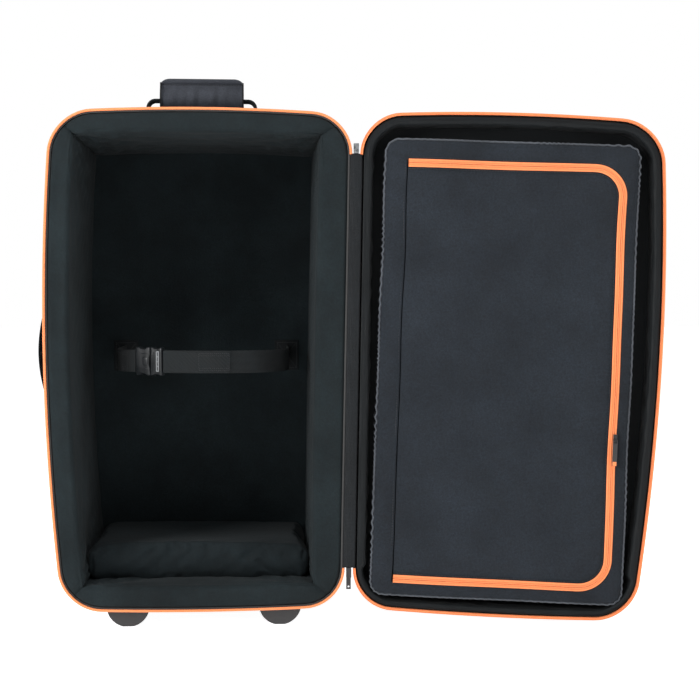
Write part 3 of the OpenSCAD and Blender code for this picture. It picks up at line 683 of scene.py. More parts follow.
def padded_wall(name, inner, outer, depth, sign, place, body, nodes, material,
                front, roundness, bulge, crease, closed=False):
    """One foam wall in its lining: a flat rim face, a soft edge and the inner side, puckered at its mitres."""
    n = len(inner)
    across = outer - inner
    width = np.linalg.norm(across, axis=1)
    outwards = unit(across)
    s = lengths(inner, closed)[:n]
    to_mitre = s * 0 + 500 if closed else np.minimum(s, s[-1] - s)
    pinch = np.exp(-to_mitre / 5)
    folds = crease * (np.exp(-to_mitre / 55) + 0.22)
    slant = np.minimum(s, s[-1] - s)
    seed = len(name)
    gather = crease * 0.45 * (1 + np.sin(to_mitre * 0.62)) * np.exp(-to_mitre / 16)
    rows = []

    def add(d, y):
        """A line of the wall's skin: d outwards from the inner edge, y back from the rim."""
        p = inner + outwards * np.asarray(d * np.ones(n))[:, None]
        rows.append(np.stack([p[:, 0], sign * y * np.ones(n), p[:, 1]], 1))

    for y in np.linspace(depth, front + roundness * 1.3, 34 if depth > 100 else 10):
        share = math.sin(math.pi * min(1, y / depth))
        puff = bulge * share * (1 - np.exp(-to_mitre / 40))
        wave = folds * ripple(slant / 52 + y / 95, y / 70 - slant / 160, seed) * 1.6 * share
        reach, turn = np.hypot(to_mitre, y), np.arctan2(y, to_mitre + 1)
        tuck = np.sin(turn * 15 + 1.3 * np.sin(turn * 7 + seed))
        tuck = tuck * np.exp(-reach / 130) * np.clip(reach / 60, 0, 1)
        add(wave + crease * 2.0 * tuck + 2.6 * pinch - puff, y)
    for a in np.radians(np.linspace(0, 90, 8)):
        wave = folds * 0.45 * ripple(s / 60, 0 * s + a, seed + 3)
        add(roundness * (1 - math.cos(a)) + (wave + 2.6 * pinch) * math.cos(a),
            front + roundness * (1 - math.sin(a)) + wave * math.sin(a) + gather + 4.0 * pinch)
    for f in np.linspace(0, 1, 9)[1:]:
        dip = 0.9 * (ripple(s / 170, f + 0 * s, seed + 5) * 0.5 + 0.3) * math.sin(math.pi * f)
        dip = dip + gather * (1 - f) ** 1.5
        add(roundness + (width - roundness) * f, front + dip + 7 * max(0, f - 0.86) / 0.14 + 4.0 * pinch)
    add(width, front + 14)
    add(np.minimum(width * 0.55, 26), front + 40 if depth > 100 else depth * 0.9)
    add(np.minimum(width * 0.5, 24), depth)
    obj = grid_mesh(name, np.stack(rows, 1), place, closed=closed)
    return dress(obj, body, material, nodes)


for side, part in enumerate(("hinge_side", "top", "free_side", "bottom")):
    inner, outer = wall_lines(BAY, side, 5.5, 150 if side in (0, 2) else 96)
    padded_wall("lining_" + part, inner, outer, BAY["depth"], 1, in_body, "case_body",
                ("foam_" + part,), LINING, front=2.2, roundness=9, bulge=3.0, crease=(2.0, 3.4, 2.6, 2.2)[side])
LID_LOOP = resample(rim_path(), 300, closed=True)
LID_OUT = outward(LID_LOOP, True)
lid_width = np.where(LID_LOOP[:, 1] < CORNER_R, TRAY["bottom"], TRAY["top"])[:, None]
padded_wall("lid_wall_lining", LID_LOOP - LID_OUT * lid_width, LID_LOOP - LID_OUT * 5,
            TRAY["depth"], -1, in_lid, "lid",
            ("lid_wall_hinge", "lid_wall_top", "lid_wall_free", "lid_wall_bottom"), SATIN,
            front=2.4, roundness=6, bulge=0.8, crease=4.0, closed=True)


def pad(name, place, lo, hi, r, cuts):
    """A closed pad with soft edges, as a finely divided rounded box."""
    bm = bmesh.new()
    bmesh.ops.create_cube(bm, size=2)
    bmesh.ops.subdivide_edges(bm, edges=bm.edges[:], cuts=cuts, use_grid_fill=True)
    lo, hi = np.array(lo, float), np.array(hi, float)
    half = (hi - lo) / 2
    verts, faces = taken(bm)
    p = verts * half
    core = np.clip(p, -(half - r), half - r)
    d = p - core
    length = np.linalg.norm(d, axis=1)
    length[length == 0] = 1
    p = np.where(np.any(d != 0, axis=1)[:, None], core + d / length[:, None] * r, p)
    return finish_mesh(name, p + (lo + hi) / 2, faces, place)


def simulate(obj, pressure, cap, voxel=0.005, shrink=-0.06, frames=20):
    """Puffs a closed pad like stuffed cloth: remesh, pressure, and a limit on how far a point moves."""
    mod = obj.modifiers.new("remesh", "REMESH")
    mod.mode, mod.voxel_size = "VOXEL", voxel
    apply_modifiers(obj)
    rest = points_of(obj)
    mod = obj.modifiers.new("cloth", "CLOTH")
    settings = mod.settings
    settings.use_pressure, settings.uniform_pressure_force = True, pressure
    settings.effector_weights.gravity = 0
    settings.shrink_min = shrink
    settings.quality = 5
    settings.tension_stiffness = settings.compression_stiffness = 12
    settings.bending_stiffness = 0.4
    scene = bpy.context.scene
    for k in range(1, frames + 1):
        scene.frame_set(k)
    apply_modifiers(obj)
    scene.frame_set(1)
    move = points_of(obj) - rest
    scale = np.minimum(1, cap / np.maximum(np.linalg.norm(move, axis=1), 1e-9))
    move_points(obj, rest + move * scale[:, None])
    for f in obj.data.polygons:
        f.use_smooth = True
    mod = obj.modifiers.new("smooth", "SUBSURF")
    mod.levels = mod.render_levels = 1
    apply_modifiers(obj)


def sheet_rings(outline, shares, front, back, name, place):
    """A broad closed pad inside an outline: front(share, points) and back give the depth of its two faces."""
    middle = (outline.min(0) + outline.max(0)) / 2
    rows, uvs = [], []
    for share in shares:
        p = middle + (outline - middle) * share
        rows.append(np.stack([p[:, 0], front(share, p), p[:, 1]], 1))
        uvs.append(p)
    for share in reversed(shares):
        p = middle + (outline - middle) * share
        rows.append(lift(p, back))
        uvs.append(p)
    return disc_mesh(name, np.stack(rows, 1), place, np.stack(uvs, 1))


# The rings of a broad sheet, from its middle to its outline, closer together near the edge
SHARES = (0.02, 0.1, 0.2, 0.3, 0.4, 0.5, 0.6, 0.7, 0.8, 0.88, 0.94, 0.98, 1.0)


def floor_sheet(name, sizes, sign, place, body, node, thick, material, proud):
    """A broad foam panel across the bottom of an opening, gently crowned."""
    loop = resample(rim_path(), 200, closed=True)
    loop = loop - outward(loop, True) * 8

    def front(share, p):
        uneven = 0.7 + 0.3 * ripple(p[:, 0] / 260, p[:, 1] / 260, 31)
        return sign * (sizes["depth"] - proud * (1 - share ** 4) * uneven)

    obj = sheet_rings(loop, SHARES, front, sign * (sizes["depth"] + thick), name, place)
    return dress(obj, body, material, (node,))


floor_sheet("lining_back", BAY, 1, in_body, "case_body", "foam_back", 36, LINING, 2.5)
floor_sheet("lid_floor_lining", TRAY, -1, in_lid, "lid", "lid_foam_panel", 10, SATIN, 0.5)

block_lo, block_hi = from_frame(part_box("base_block"))
base = pad("base_block_pad", in_body, block_lo + [7, 4, 1.5], block_hi - [7, 6, 4], 16, 22)
simulate(base, 4.0, 0.009)
# Soft wrinkles along the block's upper front edge, and its top sloping from the free side
p = from_frame(points_of(base))
left = np.clip((p[:, 0] - block_lo[0]) / (block_hi[0] - block_lo[0]), 0, 1)
height = np.clip((p[:, 2] - block_lo[2]) / BLOCK_H, 0, 1)
front_edge = np.exp(-(((p[:, 1] - block_lo[1] - 8) / 26) ** 2)) * np.exp(-(((height - 0.86) / 0.3) ** 2))
p[:, 2] += height * (2.2 * np.cos(left * 2.6) - 2.6) + front_edge * 2.0 * ripple(left * 7, p[:, 1] / 60, 91)
p[:, 1] += front_edge * 1.6 * ripple(left * 9, height * 1.5, 93) + 0.8 * ripple(left * 3, height, 95)
move_points(base, in_body(p))
dress(base, "case_body", LINING_SOFT, ("base_block",))

# ---------------------------------------------------------------- hinge band
z = np.linspace(CORNER_R, CASE_H - CORNER_R, 120)
hinge_edge = np.stack([hinge_side(z) - 1.5, z], 1)
lid_edge = from_frame(in_lid(lift(hinge_edge, 2.0 - RIM)))
body_edge = lift(hinge_edge, RIM - 2.0)
t = np.linspace(0, 1, 15)
sheet_front = body_edge[:, None, :] * (1 - t[None, :, None]) + lid_edge[:, None, :] * t[None, :, None]
ribs = 0.35 * np.abs(np.sin(t * math.pi * 5)) + 0.9 * np.sin(math.pi * t)
sheet_front[:, :, 1] -= ribs[None, :]
sheet_front[:, :, 1] += 0.25 * ripple(z[:, None] / 70, t[None, :], 41)
sheet_back = sheet_front[:, ::-1].copy()
sheet_back[:, :, 1] += 1.4
band = grid_mesh("hinge_band_cover", np.concatenate([sheet_front, sheet_back], 1), in_body, sharp=50)
dress(band, None, BAND, ("hinge_band",))
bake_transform(band)


# ---------------------------------------------------------------- pouch
# The pouch on the closed lid, and the zipper that follows three sides of its flap
POUCH_BOX = dict(x0=-476, x1=-36, z0=21, z1=821, r=24, back=-57, front=-3)
POUCH_FRONT, POUCH_REAR = POUCH_BOX["front"], POUCH_BOX["back"]
SEAM_X, ZIP_X, ZIP_LOW, ZIP_HIGH, ZIP_R = -76, -448, 51, 779, 50


def rounded(x0, x1, z0, z1, r_left, r_right):
    """A rectangle with rounded corners, from its right-hand side round: always the same number of points."""
    parts = []
    for k, (cx, cz, r) in enumerate((
        (x1 - r_right, z1 - r_right, r_right), (x0 + r_left, z1 - r_left, r_left),
        (x0 + r_left, z0 + r_left, r_left), (x1 - r_right, z0 + r_right, r_right),
    )):
        parts.append(arc((cx, cz), r, 90 * k, 90 * k + 90, 22))
    points = []
    for k, part in enumerate(parts):
        points += [part, line(part[-1], parts[(k + 1) % 4][0], (150, 260)[k % 2])]
    return np.concatenate(points)


def in_pouch(p):
    """The lid's frame, with the slight wander of soft cloth across the pouch's face."""
    p = np.array(p, float)
    wander_x, wander_z = ripple(p[:, 0] / 330, p[:, 2] / 260, 81), ripple(p[:, 0] / 280, p[:, 2] / 300, 83)
    p[:, 0] += 0.9 * wander_x
    p[:, 2] += 0.9 * wander_z
    return in_lid(p)


def zip_outline(grow, seam):
    """The flap's outline, grown on its three zipped sides, with the seam it hinges on at a given x."""
    return rounded(ZIP_X - grow, seam, ZIP_LOW - grow, ZIP_HIGH + grow, ZIP_R + grow, 1.5)


def pouch_rings():
    """The pouch's gathered sides and the puffed border round its flap, and what the edge cord follows."""
    b = POUCH_BOX
    outer = rounded(b["x0"], b["x1"], b["z0"], b["z1"], b["r"], b["r"])
    inner = zip_outline(5.8, SEAM_X + 0.8)
    n_out = away(outer, True)
    s = lengths(outer, True)[:-1]
    rows = []
    near_hinge = 1 / (1 + np.exp(-(outer[:, 0] - b["x1"] + 40) / 8))
    high_free = bump_at(outer[:, 0], b["x0"], 140) * (0.45 + bump_at(outer[:, 1], b["z1"], 120))
    uneven = 0.75 + 0.45 * ripple(s / 140, 0 * s, 55)
    strength = (0.6 + 1.1 * near_hinge + 1.3 * high_free) * np.clip(uneven, 0.15, 1.5)
    pitch = 13 + 3.5 * ripple(s / 90, 0 * s, 57).clip(-1.5, 1.5)
    phase = np.cumsum(np.gradient(s) / pitch) * TAU
    for y in np.linspace(POUCH_REAR + 0.3, POUCH_FRONT - 8, 12):
        share = (y - POUCH_REAR) / (POUCH_FRONT - POUCH_REAR)
        pleats = np.sin(phase + 1.2 * np.sin(y / 9 + s / 60)) + 0.4 * np.sin(2.3 * phase + 1)
        gather = strength * (0.3 + share) * pleats
        belly = (2.6 + 2.4 * near_hinge) * math.sin(math.pi * (0.15 + 0.85 * share))
        rows.append((outer + n_out * (-2.6 + belly + gather)[:, None], y + 0 * s))
    seam = 0.5 * strength * np.sin(phase)
    rows.append((outer + n_out * (-2.2 + 0.9 * seam)[:, None], POUCH_FRONT - 5.4 + 0 * s))
    rows.append((outer + n_out * (-3.4 + 0.6 * seam)[:, None], POUCH_FRONT - 3.0 + 0 * s))
    rows.append((outer - n_out * 4.5, POUCH_FRONT - 1.4 + 0.25 * seam))
    for f in np.linspace(0.12, 0.97, 10):
        p = (outer - n_out * 4.5) * (1 - f) + inner * f
        puff = 2.6 * math.sin(math.pi * f) ** 0.8
        pucker = 0.35 * strength * np.sin(phase * 0.5) * (1 - f) ** 2
        rows.append((p, POUCH_FRONT - 2.2 + puff + pucker + 0.5 * ripple(p[:, 0] / 130, p[:, 1] / 130, 51)))
    rows.append((inner, POUCH_FRONT - 2.6 + 0 * s))
    rows.append((inner, POUCH_FRONT - 5.5 + 0 * s))
    rows.append((outer - n_out * 7, POUCH_FRONT - 7.5 + 0 * s))
    rows.append((outer - n_out * 7, POUCH_REAR + 0.3 + 0 * s))
    return np.stack([np.stack([p[:, 0], y, p[:, 1]], 1) for p, y in rows], 1), outer, n_out, seam[:, None]


pouch_grid, pouch_outer, pouch_normal, pouch_seam = pouch_rings()
dress(grid_mesh("pouch_shell", pouch_grid, in_pouch, closed=True), "lid", POUCH,
      ("pouch_sides", "pouch_border"))


def crowned(p):
    """1 over the middle of the flap, falling smoothly to 0 at its edges."""
    u = (2 * p[:, 0] - SEAM_X - ZIP_X - 7) / (SEAM_X - ZIP_X - 6)
    v = (2 * p[:, 1] - ZIP_LOW - ZIP_HIGH) / (ZIP_HIGH - ZIP_LOW - 12)
    return np.clip(1 - np.abs(u) ** 5, 0, 1) * np.clip(1 - np.abs(v) ** 9, 0, 1)


flap = sheet_rings(
    zip_outline(-5.8, SEAM_X - 0.8)[::2], SHARES,
    lambda share, p: POUCH_FRONT - 3.4 + crowned(p) * (4.2 + 0.6 * ripple(p[:, 0] / 210, p[:, 1] / 210, 61)),
    POUCH_FRONT - 6, "pouch_flap_pad", in_pouch)
dress(flap, "flap", POUCH, ("pouch_flap",))
back_outline = rounded(POUCH_BOX["x0"] + 6, POUCH_BOX["x1"] - 6, POUCH_BOX["z0"] + 6, POUCH_BOX["z1"] - 6, 18, 18)
back = sheet_rings(
    back_outline[::4], SHARES,
    lambda share, p: POUCH_REAR + 2.0 + 0.5 * ripple(p[:, 0] / 160, p[:, 1] / 160, 67),
    POUCH_REAR + 0.4, "pouch_back_sheet", in_pouch)
dress(back, "lid", POUCH, ("pouch_back",))

# The pouch's own zipper: the flap's outline without the seam
zip_line = zip_outline(0, SEAM_X)
on_seam = zip_line[:, 0] > SEAM_X - 1.2
first = int(np.nonzero(~on_seam & np.roll(on_seam, 1))[0][0])
u_path = np.roll(zip_line, -first, 0)
u_path = u_path[u_path[:, 0] < SEAM_X - 1.2]
u_path = resample(u_path, int(lengths(u_path)[-1] / 0.8))
u_out = away(u_path)
u_s = lengths(u_path)
# One half's cross-section: the row of teeth that meets the other half, then the stitched tape
COIL_SECTION = np.array([
    (0.35, -2.6), (0.35, 0.4), (1.0, 0.9), (2.1, 0.6), (2.7, -0.8), (3.3, -0.5),
    (4.6, -0.1), (5.8, -0.3), (6.7, -0.7), (7.0, -1.8), (5.6, -2.6),
]) + [0, POUCH_FRONT + 0.4]
for sign, body, name, node in (
    (1, "lid", "pouch_zip_outer", "pouch_border_zip"), (-1, "flap", "pouch_zip_inner", "pouch_flap_zip"),
):
    profile = np.repeat(COIL_SECTION[None], len(u_path), 0)
    tooth = 0.5 + 0.5 * np.sin(TAU * u_s / 2.6 + (0 if sign > 0 else 3.14))
    profile[:, 1:4, 1] += tooth[:, None] * 0.3
    profile[..., 0] *= sign
    coil = grid_mesh(name, sweep(lift(u_path), lift(u_out), BACK, profile), in_pouch, sharp=60)
    dress(coil, body, ORANGE, (node,))

cord_path = lift(pouch_outer + pouch_normal * (1.1 * pouch_seam - 1.4), POUCH_FRONT - 3.6)
edge_cord = sweep(cord_path, lift(pouch_normal), BACK, arc((0, 0), 1.7, 0, 360, 9)[:-1])
dress(grid_mesh("pouch_edge_cord", edge_cord, in_pouch, closed=True), "lid", BINDING)
seam_line = np.stack([np.full(60, SEAM_X + 4.0), np.linspace(ZIP_LOW + 2, ZIP_HIGH - 2, 60)], 1)
for name, path, height, body in (
    ("pouch_border_stitches", u_path + u_out * 9.5, -1.5, "lid"),
    ("pouch_flap_stitches", u_path - u_out * 9.5, -1.5, "flap"),
    ("pouch_seam_stitches", seam_line, -1.6, "lid"),
):
    stitches(name, [(lift(path, POUCH_FRONT + height), BACK)], in_pouch, body)


def lid_box(node):
    """A CAD node's corners in the closed lid's own millimetres."""
    p = from_frame(points_of(frame["nodes"][node])) @ TURN
    return p.min(0), p.max(0)


pull_lo, pull_hi = lid_box("pouch_pull")
tip_hi = np.array([pull_hi[0] - 0.6, pull_hi[1] + 0.3, pull_lo[2] + 7])
tip = block(pull_lo + [0.6, -0.3, -0.4], tip_hi, 1.2)
dress(finish_mesh("pouch_pull_tip", *tip, in_lid), "pouch_zip_pull", ORANGE)

# ---------------------------------------------------------------- strap and buckle
STRAP_R, STRAP_T, STRAP_W = 157, 2.5, 40
LOOP = np.array([MID_X + 1.75, BAY["depth"] - STRAP_R, 429.0])  # the middle of the strap's half circle
BUCKLE_HALF = 29  # half the buckle's length
TURN_DEG, GAP_DEG = -35, math.degrees(math.asin((BUCKLE_HALF + 1.4) / STRAP_R))
FOLD = 34  # points of the strap's path that are folded back at the buckle


def band_mesh(name, path, normal, width_dir, width, thick, body, node, taper=1.0):
    """Webbing along a path: a flat band with rounded edges and raised selvedges."""
    w, t = width / 2, thick / 2
    u = np.linspace(-1, 1, 17)
    upper = np.stack([u * w, t * (1 + 0.18 * np.cos(u * 9.4)) * np.clip(1 - np.abs(u) ** 14, 0.25, 1)], 1)
    lower = upper[::-1] * [1, -1]
    profile = np.concatenate([upper, lower])
    profile = profile[None] * np.stack([np.broadcast_to(taper, len(path)), np.ones(len(path))], 1)[:, None]
    grid = sweep(path, width_dir, normal, profile)
    return dress(grid_mesh(name, grid, in_body, sharp=70), body, WEBBING, (node,))


def loop_path(from_deg, to_deg, side):
    """The strap from its anchor, up a straight leg and round the half circle, and its outward normals."""
    a = np.radians(np.linspace(from_deg, to_deg, 90))
    front = np.stack([np.sin(a), -np.cos(a)], 1)
    leg = np.stack([np.full(30, float(side)), np.linspace((STRAP_R - 3.2) / STRAP_R, 0.02, 30)], 1)
    p = np.concatenate([leg, front]) * (STRAP_R + STRAP_T / 2)
    n = outward(p) * -side
    sag = 1.2 * np.sin(np.linspace(0, math.pi, len(p))) ** 2
    return LOOP + np.stack([p[:, 0], p[:, 1], -sag], 1), np.pad(n, ((0, 0), (0, 1)))


def buckle_point(p):
    """A point of the buckle's frame in design millimetres: x along the strap, y inwards, z up."""
    a = math.radians(TURN_DEG)
    q = np.asarray(p, float) + [0, -STRAP_R * math.cos(math.atan(BUCKLE_HALF / STRAP_R)) - STRAP_T / 2, 0]
    x, y = q[..., 0] * math.cos(a) - q[..., 1] * math.sin(a), q[..., 0] * math.sin(a) + q[..., 1] * math.cos(a)
    return np.stack([x, y, q[..., 2]], -1) + LOOP


def strap_half(side, start, stop, name, body):
    """The webbing from an anchor round to the buckle, folded back on itself there and stitched down."""
    points, normal = loop_path(start, stop, side)
    made = [band_mesh(name + "_web", points, normal, UP, STRAP_W, STRAP_T, body, name)]
    end_n = normal[-FOLD:]
    band = points[-FOLD:] + end_n * (STRAP_T + 0.15)
    fold = sweep(band, UP, end_n, strip_profile(-19.2, 19.2, -1.1, 1.1, 0.9, 3))
    made.append(dress(grid_mesh(name + "_fold", fold, in_body, sharp=70), body, WEBBING))
    rows = [(band[:16] + end_n[:16] + [0, 0, offset], end_n[:16]) for offset in (-15, -11, 11, 15)]
    for index in (0, 15):
        cross = np.linspace(-15, 15, 12)[:, None] * UP
        rows.append((band[index] + end_n[index] + cross, end_n[index]))
    made.append(stitches(name + "_stitches", rows, in_body, body, pitch=3.4, length=2.4, width=0.8))
    return made


strap_half(-1, -90, TURN_DEG - GAP_DEG, "strap_left", "case_body")
for piece in strap_half(1, 90, TURN_DEG + GAP_DEG, "strap_right", None):
    in_body(buckle_point([36, 0, 0]))
    in_body(buckle_point([150, 0, 0]))
    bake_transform(piece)


def plate(outline, low, high, bevel):
    """A plate between two depths with a given outline of [x, z], its edges rounded."""
    bm = bmesh.new()
    base = [bm.verts.new((x, low, z)) for x, z in outline]
    face = bm.faces.new(base)
    made = bmesh.ops.extrude_face_region(bm, geom=[face])
    for v in made["geom"]:
        if isinstance(v, bmesh.types.BMVert):
            v.co.y = high
    rim = [e for e in bm.edges if abs(e.verts[0].co.y - e.verts[1].co.y) < 1e-6]
    bmesh.ops.bevel(bm, geom=rim, offset=bevel, segments=3, profile=0.5, affect="EDGES")
    return taken(bm)


def buckle_half(name, parts, material, body, node):
    """One piece of the buckle, from blocks and plates in the buckle's frame."""
    verts, faces = joined(*parts)
    obj = finish_mesh(name, buckle_point(verts), faces, in_body, sharp=32)
    return dress(obj, body, material, node)


def mirrored(half):
    """A whole outline of [x, z] from its upper half."""
    return [(x, z) for x, z in half] + [(x, -z) for x, z in reversed(half)]


socket_shape = mirrored([
    (-29, 21), (-27, 25), (-21, 25), (-17, 22.5), (-8, 22.5), (-4, 25), (3.6, 25), (3.6, 17),
])
socket = [
    plate(socket_shape[:7] + [(3.6, 12), (1.5, 8), (1.5, -8), (3.6, -12)] + socket_shape[9:], -6, 6, 2.2),
    block([-13, -6.9, -7], [-1, -5.4, 7], 1.4),
    block([-15, -6.8, 13], [2, -5.6, 14.6], 0.6), block([-15, -6.8, -14.6], [2, -5.6, -13], 0.6),
    block([-28.6, -3, -20], [-24.6, 3, 20], 1.2),
]
buckle_half("buckle_socket_shell", socket, GLOSSY, "case_body", ("buckle_socket",))
insert_shape = mirrored([(4.6, 25), (9, 25), (13, 23), (22, 23), (25, 25), (29, 24), (29, 16)])
insert = [plate(insert_shape, -5.4, 5.4, 2.0)]
insert += [block([x, -6.2, -16], [x + 2, -5, 16], 0.7) for x in (6, 10.5)]
insert += [block([-17.4, -2.2, z - 4.4], [6, 2.2, z + 4.4], 1.4) for z in (-12.5, 12.5)]
buckle_half("buckle_insert_shell", insert, GLOSSY, "buckle_tongue", ("buckle_insert",))
bars = [block([17.6 + 4.2 * k, -6.7, -17.5], [19.8 + 4.2 * k, -5.2, 17.5], 0.7) for k in range(2)]
rungs = [block([17.6, -6.5, z - 1.1], [24, -5.3, z + 1.1], 0.6) for z in (-17, -8.5, 0, 8.5, 17)]
buckle_half("buckle_ladder", bars + rungs, GREY_BAR, "buckle_tongue", ())


# The patches that hold the strap's ends, each stitched round its edge and crosswise
parts, rows = [], []
lo_all, hi_all = from_frame(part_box("strap_anchors"))
for side in (-1, 1):
    cx = LOOP[0] + side * (STRAP_R + STRAP_T / 2)
    lo = np.array([cx - 24, lo_all[1], LOOP[2] - 30])
    hi = np.array([cx + 24, hi_all[1], LOOP[2] + 30])
    parts.append(block(lo, hi, 1.3))
    corners = np.array([(-1, -1), (1, -1), (1, 1), (-1, 1), (-1, -1)]) * [19, 25]
    box = lift(corners + [cx, LOOP[2]], lo[1] - 0.1)
    rows += [(points, -BACK) for points in (box, box[[0, 2]], box[[1, 3]])]
verts, faces = joined(*parts)
dress(finish_mesh("strap_anchor_patches", verts, faces, in_body), "case_body", WEBBING,
      ("strap_anchors",))
stitches("strap_anchor_stitches", rows, in_body, "case_body", pitch=3.4, length=2.4, width=0.8)

# ---------------------------------------------------------------- handles
DENSE = resample(rim_path(), 4000, closed=True)
DENSE_OUT = outward(DENSE, True)


def patch_on_rim(keep_points, y0, y1, thick, count=24):
    """A sewn patch lying on the outer shell, and the stitching round its edge."""
    index = np.nonzero(keep_points)[0]
    p = resample(DENSE[index], count)
    n = resample(DENSE_OUT[index], count)
    n3 = lift(n)
    grid = sweep(lift(p), n3, BACK, strip_profile(0.1, thick, y0, y1, 1.2, 3))
    top = lift(p + n * thick)
    rows = [(top[2:-2] + BACK * y, n3[2:-2]) for y in (y0 + 4, y1 - 4)]
    across = np.linspace(y0 + 4, y1 - 4, 8)[:, None] * BACK
    rows += [(top[end] + across, n3[end]) for end in (2, -3)]
    return (grid.reshape(-1, 3), tube_faces(*grid.shape[:2])), rows


def patches(name, node, spans, y0, y1, thick):
    """One piece of sewn patches, one for each span of the rim, and one of their stitches."""
    parts, rows = [], []
    for span in spans:
        part, stitched = patch_on_rim(span, y0, y1, thick)
        parts.append(part)
        rows += stitched
    verts, faces = joined(*parts)
    dress(finish_mesh(name, verts, faces, in_body), "case_body", WEBBING, (node,))
    stitches(name + "_stitches", rows, in_body, "case_body", pitch=3.6, length=2.5, width=0.9)


wrap_lo, wrap_hi = from_frame(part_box("top_handle_wrap"))
web_lo, web_hi = from_frame(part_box("top_handle_webbing"))
wrap_mid = (wrap_lo + wrap_hi) / 2
wrap_length, wrap_thick, wrap_high = wrap_hi - wrap_lo
leg = (web_hi[0] - web_lo[0]) / 2 - 2.5
on_top = DENSE[:, 1] > CASE_H - CORNER_R / 2
top_spans = [on_top & (np.abs(DENSE[:, 0] - wrap_mid[0] - side * leg) < 24) for side in (-1, 1)]
patches("top_handle_pads", "top_handle_patches", top_spans, wrap_mid[1] - 19, wrap_mid[1] + 19, 3.0)

# The webbing: a leg from each pad up to a rounded bend, and straight through the wrap
pivot = web_lo[2] + 15
crest = wrap_lo[2] + 15.5
bend = 14
rise = np.linspace(pivot - 14.6, crest - bend, 30)
arch = np.concatenate([
    np.stack([np.full(30, -leg), rise], 1),
    arc((bend - leg, crest - bend), bend, 180, 90, 10)[1:],
    np.stack([np.linspace(bend - leg, leg - bend, 40)[1:-1], np.full(38, crest)], 1),
    arc((leg - bend, crest - bend), bend, 90, 0, 10),
    np.stack([np.full(30, leg), rise[::-1]], 1)[1:],
])
below = np.clip((pivot - arch[:, 1]) / 15, 0, 1)
inside_wrap = np.abs(arch[:, 0]) < wrap_length / 2 - 4
taper = np.sqrt(1 - below * below) * np.where(inside_wrap, 0.7, 0.99)
band_mesh("top_handle_web", lift(arch) + [wrap_mid[0], wrap_mid[1], 0], -lift(outward(arch)), BACK, 30, 5,
          "top_handle", "top_handle_webbing", taper=taper)


def wrap_grid():
    """The padded wrap: round about the webbing, drawn in above it and stitched along a flat upper edge."""
    high, edge = wrap_high, 16
    low = wrap_thick / 2 - 1.5
    heights = np.concatenate([
        (1 - np.cos(np.linspace(0, math.pi, 14))) / 2 * 0.44,
        np.linspace(0.46, 0.9, 16),
        0.9 + 0.1 * np.sin(np.linspace(0.15, math.pi / 2, 8)),
    ])
    grid = []
    for t in np.linspace(-1, 1, 110):
        x = t * (wrap_length / 2 - 1)
        fall = max(0, abs(x) - (wrap_length / 2 - 18)) / 18
        top = high - 1 - 12 * (1 - math.sqrt(max(0, 1 - fall * fall)))
        z = heights * top
        w = np.where(z < low, np.sqrt(np.clip(low ** 2 - (low - z) ** 2, 0, None)), low)
        s = np.clip((z - low) / (high * 0.42), 0, 1)
        w = np.where(z >= low, low + (edge / 2 - 1 - low) * s * s * (3 - 2 * s), w)
        rounding = np.sqrt(np.clip(1 - ((z - top + 6) / 6) ** 2, 0, 1))
        w = np.where(z > top - 6, rounding * np.minimum(w, edge / 2 - 1), w)
        groove = 2.4 * np.exp(-((z - (high - 13)) / 2.2) ** 2)
        flare = 1.5 * np.exp(-((abs(t) - 1) / 0.03) ** 2)
        plain = w * (1 - t ** 8 * 0.25) - groove * (w > 3) + flare * (w > 4)
        half = []
        for side, u, v, seed, amount, reach in ((-1, x / 24 + z / 160, z / 90, 71, 1.7, high - 13),
                                                (1, x / 31 + z / 140, z / 80, 73, 1.1, high)):
            swelling = np.clip(np.sin(np.clip(z / reach, 0, 1) * math.pi), 0, 1)
            y = np.clip(plain + ripple(u, v, seed) * amount * swelling, 0.05, None)
            half.append(np.stack([np.full(len(z), x), side * y, z], 1))
        grid.append(np.concatenate([half[0], half[1][::-1]]))
    return np.array(grid) + [wrap_mid[0], wrap_mid[1], wrap_lo[2]]


dress(grid_mesh("top_handle_padding", wrap_grid(), in_body, sharp=50), "top_handle", WRAP,
      ("top_handle_wrap",))
seam_x = np.linspace(wrap_lo[0] + 6, wrap_hi[0] - 6, 60)
seam = np.stack([seam_x, np.full(60, wrap_hi[2] - 13.5)], 1)
stitches("wrap_stitches", [(lift(seam, wrap_mid[1] + side * 7.4), BACK * side) for side in (-1, 1)],
         in_body, "top_handle")
# A binding round each end of the wrap: half widths and heights up one side
BINDING_LINE = ((5, 1.5), (12, 4.5), (16.2, 10), (17, 17), (15.2, 26), (11, 36), (7.6, 44), (6.6, 49))
bindings = []
for side in (-1, 1):
    x = wrap_mid[0] + side * wrap_length / 2 * 0.985
    for y in (-1, 1):
        path = np.array([[x, wrap_mid[1] + y * w, wrap_lo[2] + z] for w, z in BINDING_LINE])
        bindings.append(tube(resample(path, 30), 1.5, 8))
verts, faces = joined(*bindings)
dress(finish_mesh("wrap_binding", verts, faces, in_body), "top_handle", SHELL)

